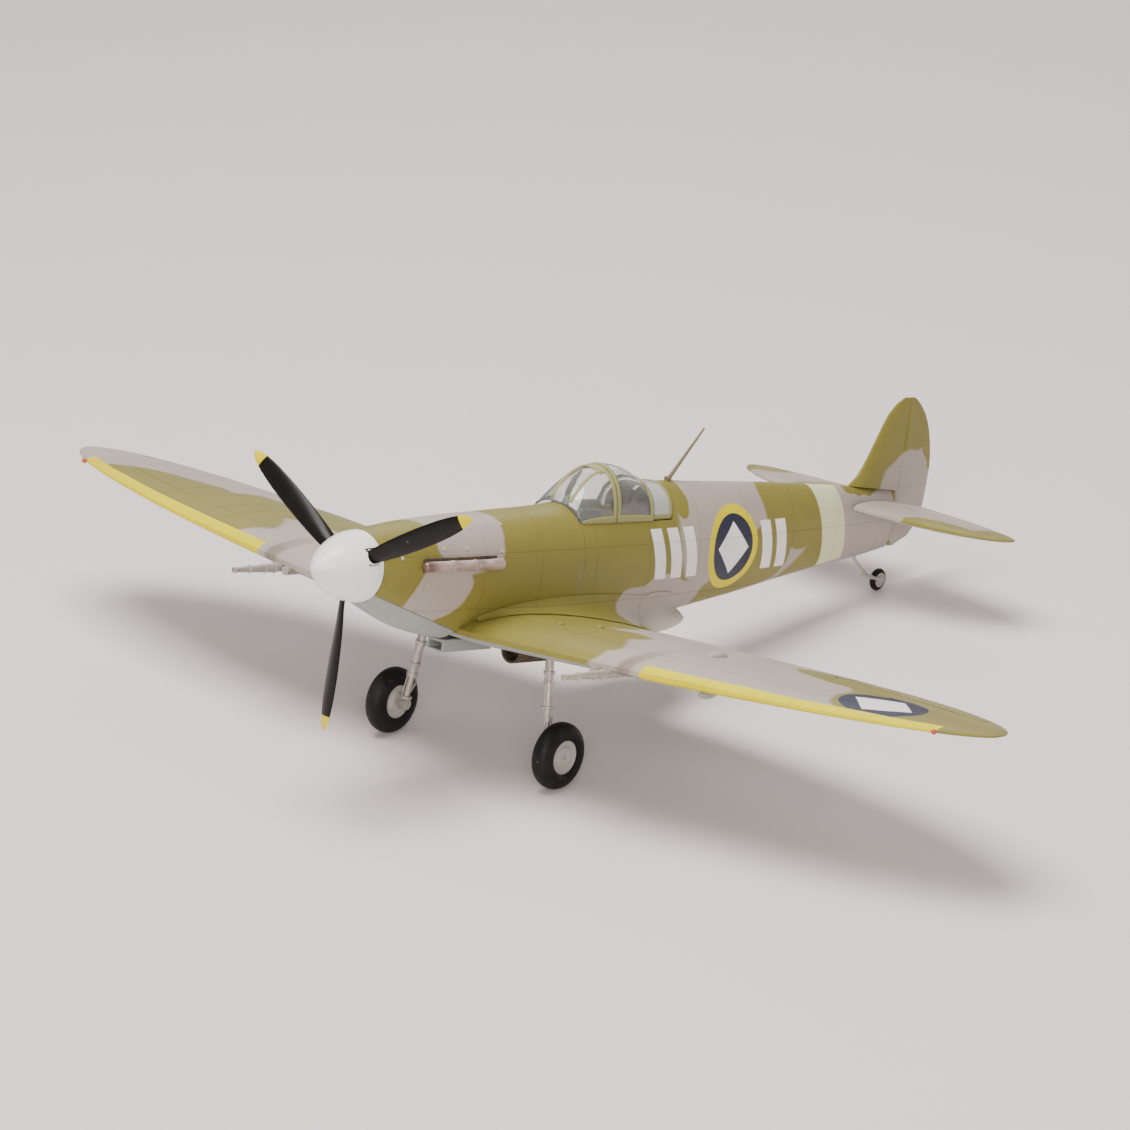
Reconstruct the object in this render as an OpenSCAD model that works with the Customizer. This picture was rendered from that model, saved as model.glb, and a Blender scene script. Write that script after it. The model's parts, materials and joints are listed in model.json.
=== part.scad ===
// Three-blade low-wing warbird, radio-controlled park flyer, at rest on its three wheels.
// Everything is drawn level (nose at the origin, looking along +X, port wing on +Y), with
// "s" as the distance behind the spinner's tip, and stance() then sets it on the ground.

/* [Wing] */
// Wing span, tip to tip
wing_span = 800; // [640:10:960]
// Wing chord on the centre line
root_chord = 180; // [150:1:216]
// Setback of the wing tip behind the root's leading edge
tip_setback = 81; // [65:1:97]
// Distance of the wing's leading edge behind the spinner's tip
wing_le_s = 128; // [124:1:134]
// Height of the wing's chord line at its root
wing_root_z = -44.5; // [-46:0.5:-43]
// Dihedral of the outer panels, in degrees
dihedral = 3.8; // [3:0.1:6]
// Thickness of the root section, as a share of its chord
root_thick = 0.125; // [0.11:0.005:0.14]
// Diameter of the tubular spar
spar_d = 8; // [6:0.5:9]
// Aileron length along the wing
aileron_len = 130; // [100:1:150]
// Distance of the aileron's outer end from the wing tip
aileron_tip = 34; // [30:1:50]

/* [Fuselage] */
// Greatest width of the fuselage
body_w = 62; // [56:1:74]
// Distance from the rear glazing to the stern
tail_len = 273; // [220:1:330]
// Wall of the fuselage shells
wall = 2.4; // [1.6:0.1:3]
// Height of the cockpit sill above the thrust line
sill_z = 25; // [23:0.5:27]

/* [Propeller and motor] */
// Propeller diameter
prop_d = 217; // [180:1:230]
// Spinner diameter at its base
spinner_d = 47.4; // [44:0.2:50]
// Spinner length
spinner_len = 41; // [36:0.5:42]
// Motor shaft diameter
shaft_d = 4; // [3:0.5:5]
// Motor can diameter
can_d = 28; // [24:0.5:32]

/* [Undercarriage] */
// Main wheel diameter
wheel_d = 45; // [38:1:54]
// Main tyre width
tyre_w = 14; // [11:0.5:16]
// Distance between the main wheels' middles
track = 147; // [135:1:165]
// Main axle diameter
axle_d = 3; // [2.5:0.5:4]
// Tail wheel diameter
tail_wheel_d = 16; // [14:1:20]

/* [Tail] */
// Tailplane span
tail_span = 234; // [200:1:270]
// Height of the fin's top above the thrust line
fin_top = 98.5; // [90:0.5:110]

/* [Stand socket] */
// Bore of the belly socket for a display rod
socket_d = 6; // [5:0.5:8]
// Depth of the belly socket
socket_deep = 12; // [10:0.5:14]

/* [Hidden] */
$fn = 48;

// Clearances: running fit, gap between skins, gap round a moving surface
run = 0.05;
skin_gap = 0.2;
hinge_gap = 0.8;
end_gap = 1.8;

// ---- stance on the ground
main_s = 186;
main_z = -116;
tail_wheel_z = -34;

// ---- stations along the body
glaze_s = 334;
stern_s = glaze_s + tail_len;
cowl_s = spinner_len + 1;
hood_s = 272;
hood_end_s = 311;
sill_s = 236;
hinge_s = stern_s + 4;
steer_s = stern_s - 32;
joiner_s = stern_s - 3;
tail_wheel_s = stern_s;
elev_z = 22;
ground_angle = atan((main_z - tail_wheel_z)/(main_s - tail_wheel_s))
    + asin((wheel_d - tail_wheel_d)/2/norm([main_s - tail_wheel_s, main_z - tail_wheel_z]));
rear_reach = (hinge_s + 35)*cos(ground_angle) + 48*sin(ground_angle);
ground_z = wheel_d/2 + main_s*sin(ground_angle) - main_z*cos(ground_angle);
module stance() translate([rear_reach/2, 0, ground_z]) rotate([0, -ground_angle, 0]) children();

// ---- helpers: smooth reading of a table, and skins between rings
function row(t, v, i = 0) = i >= len(t) - 2 || v < t[i + 1][0] ? i : row(t, v, i + 1);
function slope(t, i, k) = let(a = max(0, i - 1), b = min(len(t) - 1, i + 1))
    (t[b][k] - t[a][k])/(t[b][0] - t[a][0]);
function smooth(t, v, k = 1) = let(i = row(t, v), h = t[i + 1][0] - t[i][0], x = (v - t[i][0])/h)
    (2*x*x*x - 3*x*x + 1)*t[i][k] + (x*x*x - 2*x*x + x)*h*slope(t, i, k)
    + (3*x*x - 2*x*x*x)*t[i + 1][k] + (x*x*x - x*x)*h*slope(t, i + 1, k);
function spow(v, e) = sign(v)*pow(abs(v), e);
function steps(a, b, n) = [for (i = [0:n]) a + (b - a)*i/n];

// A ring lists one side's points and then the other side's, backwards, so its ends are closed
// by a ladder of small faces between the two sides. A skin whose rings run the other way round
// is turned, so that its faces look outwards.
module skin(rings, turned = false) {
    m = len(rings);
    n = len(rings[0]);
    function ladder(o, flip) = [for (k = [0:n/2 - 2]) let(a = o + k, b = o + k + 1,
        c = o + n - 2 - k, d = o + n - 1 - k) each flip ? [[a, c, b], [a, d, c]] : [[a, b, c], [a, c, d]]];
    polyhedron(points = [for (r = rings) each r],
        faces = [for (f = concat(ladder(0, false), ladder((m - 1)*n, true),
            [for (j = [0:m - 2], i = [0:n - 1]) let(a = j*n + i, b = j*n + (i + 1)%n)
                each [[a, a + n, b], [b, a + n, b + n]]])) turned ? [f[0], f[2], f[1]] : f]);
}
module along_x(s, y, z) translate([-s, y, z]) rotate([0, -90, 0]) children();
module across(s, y, z) translate([-s, y, z]) rotate([-90, 0, 0]) children();
module rod(a, b, d) translate(a) rotate([0, acos((b - a)[2]/norm(b - a)), atan2((b - a)[1], (b - a)[0])])
    cylinder(d = d, h = norm(b - a));

// ---- fuselage outline: station, share of half width, top, bottom, middle, upper roundness
stations = [
    [cowl_s, 0.76, 23.5, -23.8, 0, 2],
    [62, 0.83, 25.8, -33, -1, 2.1],
    [88, 0.89, 28, -43, -2, 2.2],
    [126, 0.95, 30, -51, -3, 2.2],
    [176, 0.98, 31.5, -55, -4, 2.2],
    [232, 1, 34, -56, -4, 2.1],
    [280, 1, 42, -54, -3, 1.8],
    [glaze_s, 0.95, 46.5, -49, -2, 1.7],
    [glaze_s + 0.15*tail_len, 0.86, 45, -42.5, -1, 1.75],
    [glaze_s + 0.34*tail_len, 0.74, 43, -35.5, 1, 1.8],
    [glaze_s + 0.52*tail_len, 0.6, 40.5, -28, 4, 1.9],
    [glaze_s + 0.7*tail_len, 0.44, 37.5, -21.5, 7, 2],
    [glaze_s + 0.88*tail_len, 0.27, 34, -15.5, 9, 2],
    [stern_s, 0.14, 31, -10.5, 11, 2]];
low_e = 2.2;
function half_w(s) = body_w/2*smooth(stations, s, 1);
function top_z(s) = smooth(stations, s, 2);
function low_z(s) = smooth(stations, s, 3);
function mid_z(s) = smooth(stations, s, 4);
function body_e(s, up) = up ? smooth(stations, s, 5) : low_e;
function body_h(s, up) = up ? top_z(s) - mid_z(s) : mid_z(s) - low_z(s);
function body_pt(s, a, t = 0) = let(up = a > 0, e = 2/body_e(s, up))
    [-s, (half_w(s) - t)*spow(cos(a), e), mid_z(s) + (body_h(s, up) - t)*spow(sin(a), e)];
function side_a(s, z) = let(up = z > mid_z(s))
    (up ? 1 : -1)*asin(pow(min(1, abs(z - mid_z(s))/body_h(s, up)), body_e(s, up)/2));
function side_y(s, z) = body_pt(s, side_a(s, z))[1];
function inner_y(s, z) = let(up = z > mid_z(s), e = body_e(s, up), h = body_h(s, up) - wall)
    (half_w(s) - wall)*pow(1 - pow(min(1, abs(z - mid_z(s))/h), e), 1/e);
function inner_low(s, y) = mid_z(s) - (body_h(s, false) - wall)
    *pow(1 - pow(min(1, y/(half_w(s) - wall)), low_e), 1/low_e);

// ---- wing: two half ellipses on one long axis, with a classic thickness law
half_span = wing_span/2;
knee_y = 28;
root_inc = 2;
washout = 2.5;
te_half = 0.25;
function ell(y) = sqrt(max(0, 1 - pow(y/half_span, 2)));
function wing_le(y) = wing_le_s + tip_setback*(1 - ell(y));
function wing_te(y) = wing_le_s + root_chord - (root_chord - tip_setback)*(1 - ell(y));
function chord(y) = wing_te(y) - wing_le(y);
function wing_z(y) = wing_root_z + max(0, y - knee_y)*tan(dihedral);
function bulge(u, t) = 5*t*(0.2969*sqrt(u) - 0.126*u - 0.3516*u*u + 0.2843*u*u*u - 0.1036*u*u*u*u);
function thick_at(y) = root_thick - 0.055*y/half_span;
function wing_pt(y, u, side, lift = 0) = let(c = chord(y))
    [-(wing_le(y) + u*c), y, wing_z(y) + c*(0.08*u*(1 - u) + side*bulge(u, thick_at(y))
        + (0.3 - u)*tan(root_inc - washout*y/half_span)) + side*(te_half + lift)];
function wing_surf(s, y, side) = wing_pt(y, min(1, max(0, (s - wing_le(y))/chord(y))), side)[2];
function near_te(u1, k, n) = u1*(1 - cos(180*(k + 0.4)/(n - 0.6)))/2;

// ---- ailerons
ail_y0 = half_span - aileron_tip - aileron_len;
ail_y1 = half_span - aileron_tip;
ail_c0 = 34;
ail_c1 = 15;
function blend(y, a, b) = a + (b - a)*(y - ail_y0)/aileron_len;
function ail_s(y) = blend(y, wing_te(ail_y0) - ail_c0, wing_te(ail_y1) - ail_c1);
function ail_z(y) = blend(y, wing_surf(ail_s(ail_y0), ail_y0, 0), wing_surf(ail_s(ail_y1), ail_y1, 0));
function ail_r(y) = (wing_surf(ail_s(y), y, 1) - wing_surf(ail_s(y), y, -1))/2 - 0.1;
function cut_u(y) = (ail_s(y) - ail_r(y) - hinge_gap - wing_le(y))/chord(y);

wing_n = 13;
function wing_ring(y, u1) = concat(
    [for (k = [0:wing_n - 1]) wing_pt(y, near_te(u1, k, wing_n), 1)],
    [for (k = [wing_n - 1:-1:0]) wing_pt(y, near_te(u1, k, wing_n), -1)]);
function aileron_ring(y) = let(c = [-ail_s(y), y, ail_z(y)], u0 = (ail_s(y) - wing_le(y))/chord(y),
    side = [for (k = [0:3]) [cos(15 + 24*k), sin(15 + 24*k)]*ail_r(y)]) concat(
    [for (p = side) c + [p[0], 0, p[1]]],
    [for (k = [0:4]) wing_pt(y, u0 + (1 - u0)*k/4, 1)],
    [for (k = [4:-1:0]) wing_pt(y, u0 + (1 - u0)*k/4, -1)],
    [for (k = [3:-1:0]) c + [side[k][0], 0, -side[k][1]]]);
tip_y = ail_y1 + end_gap;
tip_a = asin(tip_y/half_span);
module wing_panel() skin(concat(
    [for (y = concat(steps(0, knee_y, 1), steps(knee_y + 20, ail_y0 - end_gap, 6))) wing_ring(y, 1)],
    [for (y = steps(ail_y0 - end_gap + 0.2, tip_y - 0.2, 6)) wing_ring(y, cut_u(y))],
    [for (a = steps(tip_a, 86.5, 7)) wing_ring(half_span*sin(a), 1)]), turned = true);

// ---- undercarriage points
splay = 8;
leg_s = main_s;
wheel_y = track/2;
leg_y = wheel_y - tyre_w/2 - 4;
leg_d = 6;
leg_top_z = -48;
leg_len = (leg_top_z - main_z)/cos(splay);
leg_top_y = leg_y - (leg_top_z - main_z)*tan(splay);
block_l = 26;
block_w = 20;
block_t = 4;
module leg_frame() translate([-leg_s, leg_y, main_z]) rotate([splay, 0, 0]) children();
block_z = wing_surf(leg_s, leg_top_y, -1) + 1;
module leg_block(grow = 0, drop = 0)
    translate([-leg_s - block_l/2 - grow, leg_top_y - block_w/2 - grow, block_z - drop])
        cube([block_l + 2*grow, block_w + 2*grow, block_t + grow + drop]);

// ---- spar and socket points
spar_s = wing_le_s + 0.33*root_chord;
spar_wall = 1;
spar_in = 6;
spar_out = 190;
joiner_len = 40;
function spar_pt(y) = [-spar_s, y, wing_root_z + 2 + y*tan(dihedral*0.75)];
socket_s = spar_s + 14;
socket_face = wing_surf(socket_s, 0, -1);
socket_wall = 2;
bolt_d = 4;
bolt_s = wing_le_s + root_chord - 20;
bolt_y = 12;
plate_z = wing_surf(bolt_s - 12, 0, 1) + 0.4;
plate_t = 3;

// ---- cannon points
cannon_y = 144;
cannon_d = 6;
cannon_tip_s = 89;
cannon_mouth = 3.2;
cannon_z = -40;
cannon_root_s = wing_le(cannon_y) + 16;
stub_y = cannon_y - 9;

module wing_cut() difference() {
    wing_panel();
    rod(spar_pt(spar_in), spar_pt(spar_out + 0.3), spar_d);
    rod(spar_pt(-6), spar_pt(spar_in + 1), spar_d);
    leg_block(0.1, 6);
    for (y = [cannon_y, stub_y]) along_x(cannon_root_s - 40, y, cannon_z)
        cylinder(d = cannon_d + 2*run, h = 40 + run);
    translate([-bolt_s, bolt_y, -70]) cylinder(d = bolt_d + 2*run, h = 60);
    translate([-socket_s, 0, socket_face - 5])
        cylinder(d = socket_d + 2*socket_wall + 2*run, h = socket_deep + 7);
    translate(servo_at(-30)) cube([servo_l + 0.4, servo_w + 0.4, 30 + servo_t]);
}

// ---- aileron servos, let into the wing's underside beside each aileron's inner end
servo_l = 23;
servo_w = 12;
servo_t = 9;
servo_back = 22;
servo_y = ail_y0 - 28;
function servo_at(dz) = [servo_back - ail_s(ail_y0), servo_y,
    wing_surf(ail_s(ail_y0) - servo_back - servo_l/2, servo_y, -1) + 0.8 + dz];
module wing_left() stance() color("darkkhaki") wing_cut();
module wing_right() stance() color("darkkhaki") mirror([0, 1, 0]) wing_cut();

// ---- fuselage shells, cut for the cockpit above, the wing below and the lower cowl ahead of it
lip_nose = -15;
lip_wing = -43;
wing_end_s = wing_te(0);
step_s = 0.2;
function lip_z(s) = lip_nose + (lip_wing - lip_nose)*(s - cowl_s)/(wing_le_s - cowl_s);
function high_a(s) = s > sill_s && s < glaze_s ? side_a(s, sill_z) : 90;
function low_a(s) = s < wing_le_s ? side_a(s, lip_z(s))
    : s <= wing_end_s ? side_a(s, wing_surf(s, knee_y, 1) + skin_gap) : -90;
function shell_ring(s, hi, lo, n) = concat(
    [for (k = [0:n]) body_pt(s, hi + (lo - hi)*k/n)],
    [for (k = [n:-1:0]) body_pt(s, hi + (lo - hi)*k/n, wall)]);
shell_s = concat(steps(cowl_s, wing_le_s - step_s, 5),
    [for (f = steps(0, 1, 9)) wing_le_s + (sill_s - wing_le_s)*f*f],
    steps(sill_s + step_s, wing_end_s, 5), steps(wing_end_s + step_s, glaze_s - step_s, 2),
    steps(glaze_s, stern_s, 12));
module half_shell() difference() {
    skin([for (s = shell_s) shell_ring(s, high_a(s), low_a(s), 14)]);
    across(joiner_s, 0, elev_z) cylinder(d = joiner_d + 2, h = 12);
    translate([-steer_s, 0, -30]) cylinder(d = post_d + 1, h = 25);
}
module fuselage_left() stance() color("darkkhaki") half_shell();
module fuselage_right() stance() color("darkkhaki") mirror([0, 1, 0]) half_shell();
module lower_cowl() stance() color("lightslategray") skin([for (s = steps(cowl_s, wing_le_s - 0.6, 6))
    let(a = side_a(s, lip_z(s) - skin_gap)) shell_ring(s, a, -180 - a, 20)]);

// ---- power train
firewall_s = 84;
firewall_t = 4;
backplate_t = 2;
nut_s = 19;
disc_s = 34;
can_s = 47;
can_len = 24;
can_wall = 1.2;
base_s = can_s + can_len + 1;
shaft_r = shaft_d/2;
tray_z = -26;
tray_t = 2;
tray_end_s = 226;
module yz_plate(s, t) translate([-s, 0, 0]) rotate([90, 0, 90]) linear_extrude(t) children();
module firewall() stance() color("burlywood") yz_plate(firewall_s, firewall_t) difference() {
    polygon([for (a = [-180:9:171]) let(p = body_pt(firewall_s - firewall_t, a, wall + inner_gap))
        [p[1], p[2]]]);
    for (a = [0:90:270]) rotate(a) translate([can_d/2 - 4, 0]) circle(d = 3, $fn = 24);
    translate([0, -can_d/2 - 9]) square([14, 8], center = true);
}
module motor_stator() stance() color("dimgray") {
    along_x(base_s, 0, 0) cylinder(d = can_d - 2, h = firewall_s - firewall_t - base_s);
    along_x(can_s + 5, 0, 0) difference() {
        cylinder(d = can_d - 2*can_wall - 2, h = base_s - can_s - 5);
        translate([0, 0, -1]) cylinder(r = shaft_r + 0.5, h = can_len - 3);
        for (a = [0:30:330]) rotate(a) translate([can_d/2 - 5, 0, -1])
            cylinder(d = 2.2, h = can_len - 6, $fn = 16);
    }
}
module motor_bell() stance() color("silver") along_x(can_s, 0, 0) difference() {
    cylinder(d = can_d, h = can_len);
    translate([0, 0, 2]) cylinder(d = can_d - 2*can_wall, h = can_len);
    translate([0, 0, -1]) cylinder(r = shaft_r, h = 4);
    for (a = [0:60:300]) rotate(a) translate([can_d/4 + 1, 0, -1]) cylinder(d = 4, h = 4, $fn = 24);
}
module motor_shaft() stance() color("lightsteelblue")
    along_x(nut_s - 2, 0, 0) cylinder(r = shaft_r, h = base_s - nut_s - 2);
spinner_wall = 1.2;
function spin_r(f) = spinner_d/2*pow(1 - pow(1 - f, 1.8), 0.75);
module spinner_profile(t) polygon(concat([[0, spinner_len]], [[spinner_d/2 - t, spinner_len]],
    [for (k = [11:-1:0]) let(f = pow(k/11, 1.5)) [max(0, spin_r(f) - t), t + f*(spinner_len - t)]]));
module spinner() stance() color("white") along_x(0, 0, 0) difference() {
    rotate_extrude() spinner_profile(0);
    translate([0, 0, 0.01]) rotate_extrude() spinner_profile(spinner_wall);
    translate([0, 0, spinner_len - backplate_t]) cylinder(d = spinner_d - 2*spinner_wall + 0.1, h = 5);
    for (a = [180:120:420]) rotate(a) translate([8, -blade_slot/2, disc_s - 5])
        cube([spinner_d, blade_slot, spinner_len - backplate_t - disc_s + 5]);
}
module spinner_backplate() stance() color("gainsboro") along_x(spinner_len - backplate_t, 0, 0) difference() {
    cylinder(d = spinner_d - 2*spinner_wall, h = backplate_t);
    translate([0, 0, -1]) cylinder(r = shaft_r, h = 5);
}
blade_slot = 12;
blade_root = 7;
pitch = 150;
function blade_c(f) = 9 + 6.5*sin(180*pow(f, 0.9)*0.62);
function blade_ring(r) = let(f = (r - blade_root)/(prop_d/2 - blade_root),
    tip = sqrt(max(0.004, 1 - pow(f, 14))), c = blade_c(f)*tip,
    a = atan(pitch/(2*PI*max(r, 26))), t = (3.4 - 2.3*f)*tip)
    [for (k = [9:-1:0]) let(q = 36*k, u = c/2*cos(q), v = t/2*sin(q) + 0.9*t*sin(180*(u/c + 0.5))*0.4)
        [u*cos(a) - v*sin(a), r, -u*sin(a) - v*cos(a)]];
module propeller() stance() color("black") along_x(disc_s, 0, 0) {
    difference() {
        translate([0, 0, -4]) cylinder(d = 18, h = spinner_len - backplate_t - disc_s + 4);
        translate([0, 0, -5]) cylinder(r = shaft_r, h = 20);
    }
    for (a = [90:120:330]) rotate(a) blade();
}
module blade() skin_loop([for (f = steps(0, 1, 11)) blade_ring(blade_root + f*(prop_d/2 - blade_root))]);
module skin_loop(rings) {
    m = len(rings);
    n = len(rings[0]);
    polyhedron(points = [for (r = rings) each r],
        faces = concat([[for (i = [n - 1:-1:0]) i]], [[for (i = [0:n - 1]) (m - 1)*n + i]],
            [for (j = [0:m - 2], i = [0:n - 1]) let(a = j*n + i, b = j*n + (i + 1)%n)
                each [[a, b, a + n], [b, b + n, a + n]]]));
}
module prop_nut() stance() color("silver") along_x(nut_s, 0, 0) difference() {
    union() {
        cylinder(d = 9, h = disc_s - 4 - nut_s, $fn = 6);
        translate([0, 0, -2]) cylinder(d = 7, h = 3);
    }
    translate([0, 0, -3]) cylinder(r = shaft_r, h = 30);
}
module equipment_tray() stance() color("burlywood") difference() {
    translate([-tray_end_s, -16, tray_z]) cube([tray_end_s - firewall_s, 32, tray_t]);
    for (s = [100:24:220]) translate([-s, 0, tray_z - 1]) cylinder(d = 9, h = 5);
}
module speed_controller() stance() color("royalblue")
    translate([-firewall_s - 46, -12, tray_z - 9]) cube([42, 24, 9]);
module battery() stance() color("slategray")
    translate([-firewall_s - 82, -17, tray_z + tray_t]) cube([72, 34, 21]);
module receiver() stance() color("dimgray")
    translate([-tray_end_s, -12, tray_z + tray_t]) cube([40, 24, 10]);

// ---- trays and servos behind the wing
inner_gap = 0.3;
function inside(s0, s1, z0, z1) = let(l = steps(s0, s1, 4)) concat(
    [for (s = l) [-s, min(inner_y(s, z0), inner_y(s, z1)) - inner_gap]],
    [for (k = [4:-1:0]) let(s = l[k]) [-s, inner_gap - min(inner_y(s, z0), inner_y(s, z1))]]);
module wing_plate() stance() color("burlywood") difference() {
    translate([0, 0, plate_z]) linear_extrude(plate_t)
        polygon(inside(bolt_s - 12, bolt_s + 12, plate_z, plate_z + plate_t));
    for (y = [-bolt_y, bolt_y]) translate([-bolt_s, y, plate_z - 1]) cylinder(d = bolt_d, h = plate_t + 2);
}
bolt_head_z = wing_surf(bolt_s, 0, -1) - 2.5;
module wing_bolts() stance() color("ghostwhite") for (y = [-bolt_y, bolt_y])
    translate([-bolt_s, y, bolt_head_z]) {
        translate([0, 0, 2]) cylinder(d = bolt_d, h = plate_z + plate_t - bolt_head_z - 1.5);
        cylinder(d = 2*bolt_d, h = 2.2);
    }
servo_s0 = glaze_s - 17;
servo_tray_z = -16;
servo_gap = 2;
servo_h = 22;
servo_sink = 14;
arm_s = servo_s0 + 6;
arm_y = servo_gap + servo_w/2;
arm_len = 8;
arm_z = servo_tray_z + servo_h - servo_sink + 1;
arm_t = 2;
spline_d = 4;
tray_thick = 2;
module tail_servo(grow = 0)
    translate([-servo_s0 - servo_l, servo_gap, servo_tray_z - servo_sink] - grow*[1, 1, 1])
        cube([servo_l, servo_w, servo_h] + 2*grow*[1, 1, 1]);
module servo_tray() stance() color("burlywood") difference() {
    translate([0, 0, servo_tray_z - tray_thick]) linear_extrude(tray_thick)
        polygon(inside(servo_s0 - 7, servo_s0 + servo_l + 7, servo_tray_z, servo_tray_z - tray_thick));
    for (m = [0, 1]) mirror([0, m, 0]) tail_servo(run);
}
module tail_servos() stance() color("royalblue") for (m = [0, 1]) mirror([0, m, 0]) {
    tail_servo();
    translate([-servo_s0 - servo_l - 5, servo_gap, servo_tray_z]) cube([servo_l + 10, servo_w, 1.5]);
    translate([-arm_s, arm_y, arm_z - 1]) cylinder(d = spline_d, h = 1 + arm_t);
}
module servo_arm() difference() {
    union() {
        cylinder(d = 7, h = arm_t);
        translate([-2, 0, 0]) cube([4, arm_len, arm_t]);
        translate([0, arm_len, 0]) cylinder(d = 4, h = arm_t);
    }
    translate([0, 0, -1]) cylinder(d = spline_d + 2*run, h = 5);
}
module elevator_arm() stance() color("ghostwhite") translate([-arm_s, arm_y, arm_z + run]) servo_arm();
module rudder_arm() stance() color("ghostwhite") mirror([0, 1, 0])
    translate([-arm_s, arm_y, arm_z + run]) servo_arm();
rod_d = 1.6;
rod_z = arm_z + arm_t + 0.4 + rod_d/2;
horn_len = 8;
horn_d = 1.6;
tiller_y = 2.6;
tiller_z = -3;
tiller_t = 1.5;
module elevator_rod() stance() color("silver") rod([-arm_s, arm_y + arm_len, rod_z],
    [-joiner_s + horn_d/2 + 0.4, 0, elev_z - horn_len], rod_d);
module rudder_rod() stance() color("silver") rod([-arm_s, -arm_y - arm_len, rod_z],
    [-steer_s + 2.2, -tiller_y, tiller_z - tiller_t/3], rod_d);

// ---- cockpit
hood_t = 1.2;
round_e = 2/2.2;
glaze_inset = 2.2;
canopy_top = [[sill_s, 36], [246, 48], [258, 56], [hood_s, 59.5], [284, 60], [298, 56.5], [hood_end_s, 50]];
function arch_pt(s, a, w, top) = let(base = sill_z + skin_gap)
    [-s, w*spow(cos(a), round_e), base + (top - base)*spow(sin(a), round_e)];
function arch_ring(s, w, top) = concat([for (k = [0:14]) arch_pt(s, k*180/14, w, top)],
    [for (k = [14:-1:0]) arch_pt(s, k*180/14, w - hood_t, top - hood_t)]);
function hood_ring(s) = arch_ring(s, side_y(s, sill_z), smooth(canopy_top, s));
module windscreen() stance() color([0.8, 0.85, 0.9, 0.5])
    skin([for (s = steps(sill_s + 0.5, hood_s - 0.2, 5)) hood_ring(s)], turned = true);
module sliding_hood() stance() color([0.8, 0.85, 0.9, 0.5])
    skin([for (s = steps(hood_s + 0.2, hood_end_s, 6)) hood_ring(s)], turned = true);
module rear_glazing() stance() color([0.9, 0.9, 0.9, 0.7])
    skin([for (s = steps(hood_end_s + 0.4, glaze_s - 0.5, 3))
        arch_ring(s, side_y(s, sill_z) - glaze_inset, 47.3 - (s - hood_end_s)*0.04)], turned = true);
tub_s0 = 244;
tub_s1 = 306;
tub_w = 32;
tub_wall = 1.5;
tub_floor = 2;
panel_top = 34;
module cockpit_tub() stance() color("darkslategray") {
    difference() {
        translate([-tub_s1, -tub_w/2, tub_floor]) cube([tub_s1 - tub_s0, tub_w, sill_z - tub_floor - 2]);
        translate([-tub_s1 + tub_wall, -tub_w/2 + tub_wall, tub_floor + tub_wall])
            cube([tub_s1 - tub_s0 - 2*tub_wall, tub_w - 2*tub_wall, 40]);
    }
    translate([0, 0, sill_z - 3.5]) linear_extrude(1.5) difference() {
        polygon(inside(tub_s0, tub_s1, sill_z - 3.5, sill_z - 2));
        translate([-tub_s1 + tub_wall, -tub_w/2 + tub_wall])
            square([tub_s1 - tub_s0 - 2*tub_wall, tub_w - 2*tub_wall]);
    }
    translate([-tub_s0 - 2, -13, sill_z - 2]) cube([2, 26, panel_top - sill_z + 2]);
    translate([-tub_s0 - 20, 0, tub_floor + 1]) cylinder(d = 2, h = 14);
}
module seat() stance() color("saddlebrown") translate([-294, -9, tub_floor + tub_wall]) {
    cube([20, 18, 3]);
    translate([0.6, 1, 2]) rotate([0, -8, 0]) cube([2.5, 16, 21]);
}
module headrest() stance() color("saddlebrown") translate([-tub_s1, 0, sill_z - 2]) {
    translate([0, -9, 0]) cube([1.5, 18, 20]);
    translate([1.5, 0, 14]) rotate([0, 90, 0]) cylinder(d = 11, h = 3);
}
mast_s = 349;
mast_h = 35;
mast_lean = 31;
module antenna_mast() stance() color("olive") {
    translate([-mast_s, 0, top_z(mast_s) + 0.1]) rotate([0, -atan(mast_lean/mast_h), 0])
        translate([0, 0, 1.5]) cylinder(d1 = 2.8, d2 = 1.4, h = norm([mast_h, mast_lean]) - 1.5);
    translate([-mast_s, 0, top_z(mast_s + 5) + 0.3]) cylinder(d = 5, h = 2.4);
}
module spine_light() stance() color("white") translate([-378, 0, top_z(378) + 0.1]) {
    cylinder(d = 4.5, h = 1);
    translate([0, 0, 1]) cylinder(d1 = 4, d2 = 2, h = 1.6);
}

// ---- exhausts, intake and cooler
pipe_s0 = 76;
pipe_s1 = 146;
pipe_z = 5;
pipe_d = 7;
function pipe_y(s) = side_y(s, pipe_z) + pipe_d/2 + 0.5;
pipe_wall = 0.8;
pipe_flare = 0.7;
module exhaust() {
    a = [-pipe_s0, pipe_y(pipe_s0), pipe_z];
    b = [-pipe_s1, pipe_y(pipe_s1), pipe_z];
    l = norm(b - a);
    r = pipe_d/2;
    mouth_r = r + pipe_flare;
    translate(a) rotate([0, 90, atan2((b - a)[1], (b - a)[0])]) rotate_extrude() polygon(concat(
        [for (q = [0:15:90]) [r*sin(q), -r*cos(q)]],
        [[r, l - 12], [mouth_r, l], [mouth_r - pipe_wall, l], [r - pipe_wall, l - 8], [0, l - 8]]));
    for (k = [0:2]) let(p = a + (b - a)*(0.08 + 0.28*k)) rod(p, p + [-14, 3.6, 0.5], 4.6);
}
module exhaust_left() stance() color("rosybrown") exhaust();
module exhaust_right() stance() color("rosybrown") mirror([0, 1, 0]) exhaust();
intake_s0 = 132;
intake_s1 = 182;
intake_w = 14;
intake_h = 9;
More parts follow.
